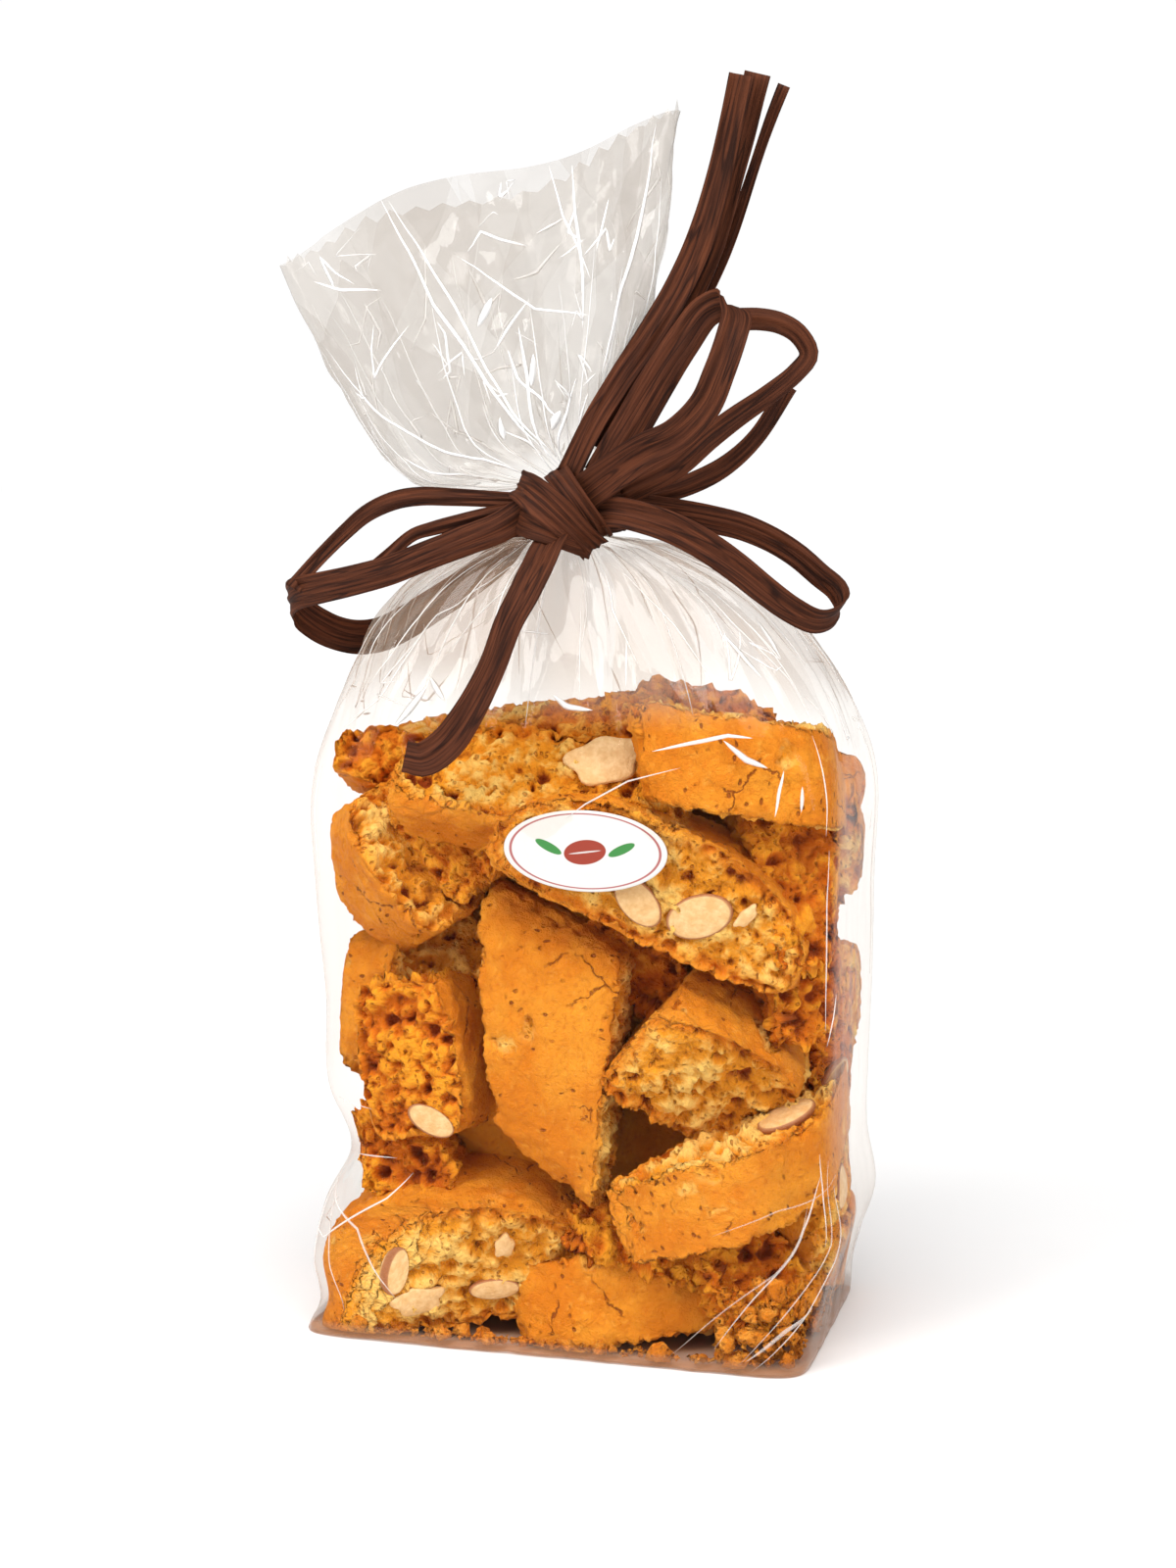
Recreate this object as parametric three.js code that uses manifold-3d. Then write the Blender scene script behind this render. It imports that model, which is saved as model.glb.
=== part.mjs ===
// Clear block-bottom bag filled with almond biscotti, gathered at the neck and tied with a
// bow of raffia, with an oval sticker on the front.
// Millimetres, +Z up, +X to the right of the front, the front faces -Y.
// The origin is the middle of the bottom that the bag stands on.
import * as THREE from 'three';
import { mergeVertices } from 'three/addons/utils/BufferGeometryUtils.js';
import Module from 'manifold-3d';

const wasm = await Module();
wasm.setup();

// Driving dimensions.
const BAG_WIDTH = 108;            // across the front, at the middle of the filled part
const BAG_DEPTH = 67;             // front to back, at the same height
const SHOULDER_HEIGHT = 122;      // where the full width ends and the film starts to close in
const NECK_BOTTOM = 169;          // underside of the tie
const NECK_TOP = 177.5;           // where the film fans out again
const NECK_RADIUS = 7.5;
const NECK_X = -5.5;              // the neck stands a little left of the middle
const FILM_WALL = 0.8;            // doubled, crumpled film of the open fan
const FAN_DEPTH = 12;             // half of the mouth, front to back
const PLEATS = 12;
const PLEAT_DEPTH = 1.2;
const RING_POINTS = 72;           // points round each cross-section of the bag

const GAP = 0.3;                  // clearance between pieces that touch
const TIE_WALL = 3.2;             // raffia wound round the neck
const KNOT_SIZE = [9, 5, 7.5];    // half sizes of the knot
const KNOT_PLACE = [-5.5, -15, 174];
const RAFFIA_THICKNESS = 0.8;
const RAFFIA_FOLD = 0.12;         // height of the lengthwise pleat, as a share of the width

const LABEL_WIDTH = 34;
const LABEL_HEIGHT = 16.6;
const LABEL_THICKNESS = 0.4;
const LABEL_PLACE = [6, 107.5];    // centre, across and up

const filmFinish = new THREE.MeshStandardMaterial({ color: 0xe9e2d8, roughness: 0.12, metalness: 0 });
const raffiaFinish = new THREE.MeshStandardMaterial({ color: 0x4a2415, roughness: 0.7, metalness: 0 });
const paperFinish = new THREE.MeshStandardMaterial({ color: 0xf4f1ec, roughness: 0.55, metalness: 0 });

const part = new THREE.Group();

function addPiece(name, geometry, material) {
  const mesh = new THREE.Mesh(geometry, material);
  mesh.name = name;
  part.add(mesh);
}

// Skins a row of closed rings with equal numbers of points, and closes both ends with fans.
function skinRings(rings) {
  const count = rings[0].length;
  const vertices = rings.flat().flatMap((p) => [p.x, p.y, p.z]);
  const indices = [];
  for (let row = 0; row + 1 < rings.length; row += 1) {
    for (let k = 0; k < count; k += 1) {
      const here = row * count + k;
      const next = row * count + ((k + 1) % count);
      indices.push(here, next, here + count, next, next + count, here + count);
    }
  }
  const closeEnd = (row, flip) => {
    const centre = rings[row].reduce((sum, p) => sum.add(p), new THREE.Vector3());
    centre.divideScalar(count);
    const tip = vertices.length / 3;
    vertices.push(centre.x, centre.y, centre.z);
    for (let k = 0; k < count; k += 1) {
      const here = row * count + k;
      const next = row * count + ((k + 1) % count);
      indices.push(...(flip ? [tip, next, here] : [tip, here, next]));
    }
  };
  closeEnd(0, true);
  closeEnd(rings.length - 1, false);
  const geometry = new THREE.BufferGeometry();
  geometry.setAttribute('position', new THREE.Float32BufferAttribute(vertices, 3));
  geometry.setIndex(indices);
  return geometry;
}

function toSolid(geometry) {
  const bare = geometry.clone();
  bare.deleteAttribute('normal');
  bare.deleteAttribute('uv');
  const merged = mergeVertices(bare, 1e-4);
  return new wasm.Manifold(new wasm.Mesh({
    numProp: 3,
    vertProperties: new Float32Array(merged.getAttribute('position').array),
    triVerts: new Uint32Array(merged.getIndex().array),
  }));
}

function toGeometry(solid) {
  const mesh = solid.getMesh();
  const geometry = new THREE.BufferGeometry();
  geometry.setAttribute('position', new THREE.Float32BufferAttribute(mesh.vertProperties, 3));
  geometry.setIndex(Array.from(mesh.triVerts));
  return geometry;
}

// Cuts a piece back from its neighbours and keeps its largest remaining body.
function cutBack(geometry, neighbours) {
  const cut = neighbours.reduce((solid, other) => solid.subtract(other), toSolid(geometry));
  const bodies = cut.decompose().sort((a, b) => b.volume() - a.volume());
  return toGeometry(bodies[0]);
}

// The filled bag: cross-sections from the flat bottom, past the slack waist near the floor,
// to the neck. Widths and depths are shares of the bag's own; squareness is the exponent
// of the rounded rectangle; shift moves the section across.
const BODY_LEVELS = [
  { height: 0, wide: 1.02, deep: 0.97, shift: -1.6, squareness: 12 },
  { height: 5, wide: 1.01, deep: 1.0, shift: 0.4, squareness: 10 },
  { height: 16, wide: 1.01, deep: 1.0, shift: 0.6, squareness: 8 },
  { height: 27, wide: 0.99, deep: 0.99, shift: 1.6, squareness: 7 },
  { height: 39.5, wide: 0.94, deep: 0.98, shift: 4.2, squareness: 6 },
  { height: 53, wide: 0.98, deep: 0.99, shift: 2.4, squareness: 7 },
  { height: 73, wide: 0.99, deep: 1.0, shift: 2, squareness: 9 },
  { height: 95, wide: 1.0, deep: 1.0, shift: 1.5, squareness: 10 },
  { height: SHOULDER_HEIGHT, wide: 1.0, deep: 1.0, shift: 1.2, squareness: 8 },
  { height: 133, wide: 0.98, deep: 0.93, shift: 0.6, squareness: 5 },
  { height: 143, wide: 0.92, deep: 0.81, shift: -0.6, squareness: 3.6 },
  { height: 152, wide: 0.83, deep: 0.66, shift: -2, squareness: 2.8 },
  { height: 160, wide: 0.65, deep: 0.49, shift: -3.5, squareness: 2.3 },
  { height: 166, wide: 0.36, deep: 0.33, shift: -5, squareness: 2 },
];

function bodyRing({ height, wide, deep, shift, squareness }) {
  const ring = [];
  for (let k = 0; k < RING_POINTS; k += 1) {
    const angle = (2 * Math.PI * k) / RING_POINTS;
    const c = Math.cos(angle);
    const s = Math.sin(angle);
    const reach = (Math.abs(c) ** squareness + Math.abs(s) ** squareness) ** (-1 / squareness);
    ring.push(new THREE.Vector3(
      shift + (BAG_WIDTH / 2) * wide * reach * c,
      (BAG_DEPTH / 2) * deep * reach * s,
      height,
    ));
  }
  return ring;
}

function neckRing(height) {
  const ring = [];
  for (let k = 0; k < RING_POINTS; k += 1) {
    const angle = (2 * Math.PI * k) / RING_POINTS;
    const radius = NECK_RADIUS + 0.3 * PLEAT_DEPTH * Math.cos(PLEATS * angle);
    ring.push(new THREE.Vector3(NECK_X + radius * Math.cos(angle), radius * Math.sin(angle), height));
  }
  return ring;
}

// The film above the tie fans out: its left edge leaves the neck almost level and then
// climbs to a corner, its right edge climbs steeply to the peak.
const FAN_LEFT = new THREE.CatmullRomCurve3([
  [-14, 178.4], [-28, 178.2], [-40.5, 179.4], [-51.5, 191], [-62.5, 210], [-70.5, 224.3],
].map(([x, z]) => new THREE.Vector3(x, 0, z)));
const FAN_RIGHT = new THREE.CatmullRomCurve3([
  [2.4, 179.4], [2.2, 185], [3, 194], [8, 209], [13, 230], [16, 255],
].map(([x, z]) => new THREE.Vector3(x, 0, z)));
const FAN_STEPS = 11;
const FAN_PIT_STEP = 2;           // the hollow between the layers starts here
const FAN_RIM_WAVE = 4;

function fanRing(share) {
  const left = FAN_LEFT.getPoint(share);
  const right = FAN_RIGHT.getPoint(share);
  const middle = left.clone().add(right).multiplyScalar(0.5);
  const half = right.clone().sub(left).multiplyScalar(0.5);
  const depth = NECK_RADIUS + (FAN_DEPTH - NECK_RADIUS) * share;
  const ring = [];
  for (let k = 0; k < RING_POINTS; k += 1) {
    const angle = (2 * Math.PI * k) / RING_POINTS;
    const point = middle.clone().addScaledVector(half, Math.cos(angle));
    const pleat = PLEAT_DEPTH * Math.cos(PLEATS * angle) * Math.min(1, 0.3 + share * 2);
    point.y = (depth + pleat) * Math.sin(angle);
    point.z += FAN_RIM_WAVE * share ** 4 * Math.cos(3 * angle - 0.6) * Math.sin(angle) ** 2;
    ring.push(point);
  }
  return ring;
}

// Moves every point of the fan's rings inwards by the film's wall.
function innerRings(rings) {
  return rings.map((ring, row) => ring.map((point, k) => {
    const along = rings[Math.min(row + 1, rings.length - 1)][k].clone()
      .sub(rings[Math.max(row - 1, 0)][k]);
    const around = ring[(k + 1) % ring.length].clone().sub(ring[(k + ring.length - 1) % ring.length]);
    const outward = around.cross(along).normalize();
    return point.clone().addScaledVector(outward, -FILM_WALL);
  }));
}

function bagGeometry() {
  const fan = [];
  for (let step = 0; step <= FAN_STEPS; step += 1) fan.push(fanRing(step / FAN_STEPS));
  const lining = innerRings(fan).slice(FAN_PIT_STEP).reverse();
  const body = BODY_LEVELS.map(bodyRing);
  return skinRings([...body, neckRing(NECK_BOTTOM), neckRing(NECK_TOP), ...fan, ...lining]);
}

// Raffia wound round the neck, as one ring; grow widens it for clearance.
function tieGeometry(grow) {
  const inner = NECK_RADIUS + 0.3 * PLEAT_DEPTH + GAP - grow;
  const outer = inner + TIE_WALL + 2 * grow;
  const low = NECK_BOTTOM + GAP - grow;
  const high = NECK_TOP - 2 * GAP + grow;
  const bevel = 1;
  const profile = [
    [inner, low], [outer - bevel, low], [outer, low + bevel], [outer, high - bevel],
    [outer - bevel, high], [inner, high], [inner, low],
  ].map(([radius, height]) => new THREE.Vector2(radius, height));
  const ring = new THREE.LatheGeometry(profile, 40);
  ring.rotateX(Math.PI / 2);
  ring.translate(NECK_X, 0, 0);
  return ring;
}

function knotGeometry(grow) {
  const knot = new THREE.SphereGeometry(1, 26, 16);
  knot.scale(...KNOT_SIZE.map((size) => size + grow));
  knot.rotateY(0.6);
  knot.translate(...KNOT_PLACE);
  return knot;
}

// Flat raffia strands: a route from the knot outwards, a width, and the direction that the
// width lies in at the start and at the end of the route.
const STRANDS = [
  {
    name: 'left_loop', width: 6.5, across: [[0, 0, 1], [-0.4, 0, 1]],
    route: [[-10.5, -15, 175], [-16.5, -17, 171], [-24, -17.5, 168], [-32, -17.5, 165],
      [-41, -16.5, 161.5], [-50, -15.5, 159], [-58.5, -13, 157], [-64.5, -9.5, 155.5],
      [-67.5, -5, 153.5], [-67.5, -1, 151.5], [-65, 2, 148.5], [-61.5, 5, 146], [-58, 9, 144.5],
      [-54.5, 15, 144.5], [-50.5, 20, 146.5], [-44.5, 24, 150.5], [-36, 24, 156], [-27.5, 20, 162],
      [-20.5, 13.5, 168.5]],
  },
  {
    name: 'left_upper_strand', width: 3.4, across: [[0, 0, 1], [-0.8, 0, 0.6]],
    route: [[-13, -11.5, 176], [-22, -10.5, 176.3], [-30, -9.5, 176.5], [-36.5, -8.5, 176.5],
      [-43, -7, 175.4], [-49.5, -6, 172.5], [-54.5, -5.5, 168.5], [-59.5, -5.5, 163.5],
      [-62, -5.5, 161]],
  },
  {
    name: 'left_split_strand', width: 3, across: [[0, 0, 1], [-0.6, 0, 0.8]],
    route: [[-13, -13.5, 174.8], [-20, -13.8, 173.2], [-26, -13.5, 171.7], [-33, -12.5, 170],
      [-37.5, -11.5, 168.5], [-41.5, -10.5, 164.3]],
  },
  {
    name: 'right_loop', width: 6, across: [[0.3, 0, 1], [0.4, 0, 1]],
    route: [[-0.5, -13, 173.5], [6.5, -15, 174.4], [13.5, -16.5, 173.3], [20, -17, 171.3],
      [26.5, -17, 168], [33, -16, 163.5], [38.5, -15, 159], [43.7, -13, 155], [47.8, -9, 152.5],
      [50.5, -4, 153], [51.2, 0, 155], [50, 1.5, 158], [46.5, 1, 161], [42, 0, 165],
      [37, -1.5, 168.3], [31, -3.5, 171], [25, -5.5, 172.5], [18.5, -7.5, 173.7], [9, -9.5, 175]],
  },
  {
    name: 'upper_loop', width: 6.5, across: [[-0.9, 0, 0.5], [-0.9, 0, 0.5]],
    route: [[-0.5, -15, 177], [6.6, -16.5, 182], [13.7, -18, 186.5], [21, -19.5, 190],
      [27, -20.5, 196], [30, -20, 203], [31.8, -17.5, 210], [31.5, -13, 214], [28.5, -10, 216],
      [24.5, -9.5, 214.5], [20, -10, 208.5], [14.3, -10.5, 199.7], [8.6, -11, 190],
      [3, -11.3, 181]],
  },
  {
    name: 'right_upper_loop', width: 4, across: [[-0.2, 0, 1], [-0.5, 0, 0.9]],
    route: [[31, -6, 213], [35, -6, 213], [39.2, -6, 212.2], [42.7, -5, 210], [44.8, -4.5, 206],
      [42.6, -6, 202.5], [37.3, -8, 198], [31, -9.5, 193.5], [25.5, -10, 189.3], [18.5, -11, 183.2],
      [8, -12, 177.5]],
  },
  {
    name: 'outer_strand', width: 3.4, across: [[-0.9, 0, 0.5], [-0.4, 0, 0.9]],
    route: [[40.4, -3, 199.7], [34, -3.5, 189.4], [27.8, -4.5, 183.5], [20.7, -6, 179.7],
      [13, -7.5, 177.3], [5.5, -8.5, 176]],
  },
  {
    name: 'tail_left', width: 5, across: [[-0.9, 0, 0.4], [-1, 0, 0.2]],
    route: [[-3.5, -12, 181.5], [1.4, -9.5, 192.4], [7, -7, 202], [13, -4.5, 211.6], [18, -2, 221],
      [22, -1, 230.6], [27, -0.3, 249.4], [29.6, -0.3, 261.7]],
  },
  {
    name: 'tail_middle', width: 5.6, across: [[-0.9, 0, 0.4], [-1, 0, 0.2]],
    route: [[2.5, -7.5, 186.5], [7.4, -4.8, 197.2], [12.6, -1.5, 206.8], [18, 1.2, 217.2],
      [22.6, 2.8, 227.5], [28.2, 3.5, 246.4], [32.2, 3.2, 262.2]],
  },
  {
    name: 'tail_right', width: 2.6, across: [[-0.9, 0, 0.4], [-1, 0, 0.2]],
    route: [[21, 6.5, 218], [24.5, 7, 226], [28.2, 7, 235.6], [33.2, 7, 250.5], [37, 7, 260]],
  },
  {
    name: 'lower_tail', width: 7, across: [[1, 0, 0.3], [1, 0, -0.6]],
    route: [[-4.5, -17.5, 170], [-5.4, -22, 167], [-6.2, -27, 163], [-7.5, -31, 158.5],
      [-9.8, -34.5, 152.5], [-12, -37.5, 145], [-16.4, -40, 135.5], [-21, -41, 129],
      [-25.5, -42, 126], [-29, -43, 126.5]],
  },
];
const STEPS_PER_ROUTE_POINT = 2;

// The section of a strand is a flat strip with one shallow lengthwise fold.
function strandGeometry({ width, across, route }, grow) {
  const curve = new THREE.CatmullRomCurve3(route.map((point) => new THREE.Vector3(...point)));
  const [first, last] = across.map((direction) => new THREE.Vector3(...direction));
  const half = width / 2 + grow;
  const thick = RAFFIA_THICKNESS / 2 + grow;
  const fold = RAFFIA_FOLD * width;
  const section = [
    [-half, thick], [0, thick + fold], [half, thick], [half, -thick], [0, fold - thick], [-half, -thick],
  ];
  const steps = STEPS_PER_ROUTE_POINT * (route.length - 1);
  const rings = [];
  for (let step = 0; step <= steps; step += 1) {
    const share = step / steps;
    const centre = curve.getPointAt(share);
    const tangent = curve.getTangentAt(share);
    const side = first.clone().lerp(last, share);
    side.addScaledVector(tangent, -side.dot(tangent)).normalize();
    const face = side.clone().cross(tangent);
    rings.push(section.map(([u, v]) => centre.clone().addScaledVector(side, u).addScaledVector(face, v)));
  }
  return skinRings(rings);
}

function labelGeometry() {
  const outline = new THREE.Shape();
  outline.absellipse(0, 0, LABEL_WIDTH / 2, LABEL_HEIGHT / 2, 0, 2 * Math.PI);
  const sticker = new THREE.ExtrudeGeometry(outline, {
    depth: LABEL_THICKNESS, bevelEnabled: false, curveSegments: 24,
  });
  sticker.rotateX(Math.PI / 2);
  sticker.translate(LABEL_PLACE[0], -BAG_DEPTH / 2 - GAP, LABEL_PLACE[1]);
  return sticker;
}

addPiece('bag', bagGeometry(), filmFinish);
addPiece('label', labelGeometry(), paperFinish);
addPiece('tie', tieGeometry(0), raffiaFinish);
addPiece('knot', cutBack(knotGeometry(0), [toSolid(tieGeometry(GAP))]), raffiaFinish);

const neighbours = [toSolid(tieGeometry(GAP)), toSolid(knotGeometry(GAP))];
for (const strand of STRANDS) {
  addPiece(strand.name, cutBack(strandGeometry(strand, 0), neighbours), raffiaFinish);
  neighbours.push(toSolid(strandGeometry(strand, GAP)));
}

export default part;
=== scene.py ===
import bpy
import math
import numpy as np
from mathutils import Matrix, Vector


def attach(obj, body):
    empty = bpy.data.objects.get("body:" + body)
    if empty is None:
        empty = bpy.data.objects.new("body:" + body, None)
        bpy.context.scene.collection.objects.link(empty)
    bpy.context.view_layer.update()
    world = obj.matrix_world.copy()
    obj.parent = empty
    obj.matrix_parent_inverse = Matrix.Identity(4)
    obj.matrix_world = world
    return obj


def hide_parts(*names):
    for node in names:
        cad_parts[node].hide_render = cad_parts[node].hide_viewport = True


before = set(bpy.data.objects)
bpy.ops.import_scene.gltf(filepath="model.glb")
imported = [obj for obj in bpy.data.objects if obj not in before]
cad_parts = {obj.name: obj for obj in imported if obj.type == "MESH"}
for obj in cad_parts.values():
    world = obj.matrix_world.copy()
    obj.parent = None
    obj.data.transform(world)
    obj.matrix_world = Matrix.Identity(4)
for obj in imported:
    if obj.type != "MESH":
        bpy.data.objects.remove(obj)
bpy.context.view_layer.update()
MM = 0.001

# The camera, on a line of sight that meets the front of the bag from a little right of it
# and a little above it.
TARGET = np.array((-2.5, 0, 115.6))
TURN, RISE, AWAY = math.radians(15), math.radians(9), 600
towards = np.array((math.sin(TURN) * math.cos(RISE), -math.cos(TURN) * math.cos(RISE), math.sin(RISE)))
rightwards = np.array((math.cos(TURN), math.sin(TURN), 0))
upwards = np.cross(towards, rightwards)
camera = bpy.data.objects.new("camera", bpy.data.cameras.new("camera"))
camera.matrix_world = Matrix.Translation(Vector((TARGET + AWAY * towards) * MM)) @ Matrix(
    np.stack([rightwards, upwards, towards], 1).tolist()).to_4x4()
camera.data.sensor_width = 36
camera.data.lens = 64.8
camera.data.clip_start = 0.02
bpy.context.scene.collection.objects.link(camera)
bpy.context.scene.camera = camera

# The studio: a white table top that grows whiter with distance, so that it runs on into a
# white background, an even light from overhead, two soft boxes, and a fill from all round.
TABLE_SIZE = 6.0
TABLE_DROP = 0.0004  # below the origin, clear of the bottom of the bag


class Wire:
    """A node socket that adds, subtracts, multiplies and divides like a number."""

    def __init__(self, tree, socket=None):
        self.tree, self.socket = tree, socket

    def add(self, kind, settings=(), values=(), out=0):
        """Makes a node from its type, its settings and its socket values, and gives one output."""
        node = self.tree.nodes.new(kind)
        for key, value in dict(settings).items():
            setattr(node, key, value)
        for key, value in dict(values).items():
            if isinstance(value, Wire):
                self.tree.links.new(value.socket, node.inputs[key])
            else:
                node.inputs[key].default_value = value
        return Wire(self.tree, node.outputs[out] if len(node.outputs) else None)

    def carried(self, name, out=2):
        """In a finish, a value that the mesh carries: a number, or at out=1 a vector."""
        return self.add("ShaderNodeAttribute", {"attribute_name": name}, out=out)

    def maths(self, operation, *values):
        return self.add("ShaderNodeMath", {"operation": operation}, enumerate(values))

    def __add__(self, other):
        return self.maths("ADD", self, other)

    def __sub__(self, other):
        return self.maths("SUBTRACT", self, other)

    def __rsub__(self, other):
        return self.maths("SUBTRACT", other, self)

    def __mul__(self, other):
        return self.maths("MULTIPLY", self, other)

    def __truediv__(self, other):
        return self.maths("DIVIDE", self, other)

    __radd__, __rmul__ = __add__, __mul__

    def ease(self, low, high):
        """0 at low, 1 at high, and smooth between them."""
        return self.add("ShaderNodeMapRange", {"interpolation_type": "SMOOTHSTEP"},
                        {"Value": self, "From Min": low, "From Max": high})

    def blend(self, low, high):
        """A colour that goes from low to high with this wire."""
        low, high = (c if isinstance(c, Wire) else (*c, 1) for c in (low, high))
        return self.add("ShaderNodeMix", {"data_type": "RGBA"}, {0: self, 6: low, 7: high}, out=2)

    def spread(self, x, y, z):
        """This vector, with each axis multiplied by its own number."""
        return self.add("ShaderNodeVectorMath", {"operation": "MULTIPLY"}, {0: self, 1: (x, y, z)})

    def scaled(self, amount):
        """This vector made longer or shorter."""
        return self.add("ShaderNodeVectorMath", {"operation": "SCALE"}, {0: self, "Scale": amount})

    def push(self, other, amount):
        """This vector moved along another one."""
        return self.add("ShaderNodeVectorMath", {"operation": "MULTIPLY_ADD"},
                        {0: other, 1: (amount,) * 3, 2: self})

    def centred(self):
        """This colour of a noise as a vector that points any way."""
        return self.add("ShaderNodeVectorMath", {"operation": "SUBTRACT"}, {0: self, 1: (0.5,) * 3})

    def noise(self, scale, detail=2.0, rough=0.5, out=0):
        return self.add("ShaderNodeTexNoise", {}, {"Vector": self, "Scale": scale, "Detail": detail,
                                                   "Roughness": rough}, out=out)

    def cells(self, scale, feature="F1", out=0):
        return self.add("ShaderNodeTexVoronoi", {"feature": feature}, {"Vector": self, "Scale": scale},
                        out=out)

    def bump(self, distance, strength=1.0):
        """Relief in the light only, as deep as the distance in metres."""
        return self.add("ShaderNodeBump", {}, {"Height": self, "Distance": distance,
                                               "Strength": strength})


def new_finish(name):
    """An empty material, and the wire that its nodes start from."""
    finish = bpy.data.materials.new(name)
    finish.use_nodes = True
    finish.node_tree.nodes.clear()
    return finish, Wire(finish.node_tree)


def usual_shader(start, **sockets):
    """The usual surface shader. A socket is named with _ for each space in its name."""
    return start.add("ShaderNodeBsdfPrincipled", {}, {
        key.replace("_", " "): value for key, value in sockets.items()})


def close_finish(start, surface):
    start.add("ShaderNodeOutputMaterial", {}, {"Surface": surface})


finish, start = new_finish("white_table")
place = start.add("ShaderNodeTexCoord", out=3)
away = start.add("ShaderNodeVectorMath", {"operation": "LENGTH"}, {0: place}, out=1)
white = away.ease(0.25, 0.9) + place.noise(40, 3) * 0.1
white = white.blend((0.80, 0.80, 0.80), (0.975, 0.975, 0.975))
close_finish(start, usual_shader(start, Base_Color=white, Roughness=0.6, Specular_IOR_Level=0.2))
half = TABLE_SIZE / 2
corners = [(-half, -half, 0), (half, -half, 0), (half, half, 0), (-half, half, 0)]
table = bpy.data.meshes.new("table")
table.from_pydata(corners, [], [(0, 1, 2, 3)])
table.materials.append(finish)
table = bpy.data.objects.new("table", table)
table.location.z = -TABLE_DROP
bpy.context.scene.collection.objects.link(table)

world = bpy.data.worlds.new("studio")
world.use_nodes = True
world.node_tree.nodes.clear()
start = Wire(world.node_tree)
seen = start.add("ShaderNodeLightPath", out=0)
start.add("ShaderNodeOutputWorld", {}, {"Surface": start.add("ShaderNodeBackground", {}, {
    "Color": (1, 1, 1, 1), "Strength": 0.25 + 0.76 * seen})})
bpy.context.scene.world = world
bpy.context.scene.view_settings.view_transform = "Standard"

overhead = bpy.data.lights.new("overhead", "SUN")
overhead.energy, overhead.angle = 2.95, math.radians(50)
overhead = bpy.data.objects.new("overhead", overhead)
overhead.rotation_euler = (math.radians(20), 0, math.radians(8))
bpy.context.scene.collection.objects.link(overhead)
SOFT_BOXES = (
    # name, place, size, watts
    ("left_box", (-0.75, -0.85, 0.75), (0.6, 0.9), 11.0),
    ("right_box", (0.95, -0.60, 0.60), (0.3, 0.8), 6.5),
)
for name, place, size, watts in SOFT_BOXES:
    lamp = bpy.data.lights.new(name, "AREA")
    lamp.shape, lamp.size, lamp.size_y, lamp.energy = "RECTANGLE", *size, watts
    lamp = bpy.data.objects.new(name, lamp)
    aim = Vector((0, 0, 0.1)) - Vector(place)
    lamp.location, lamp.rotation_euler = place, aim.to_track_quat("-Z", "Y").to_euler()
    bpy.context.scene.collection.objects.link(lamp)

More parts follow.
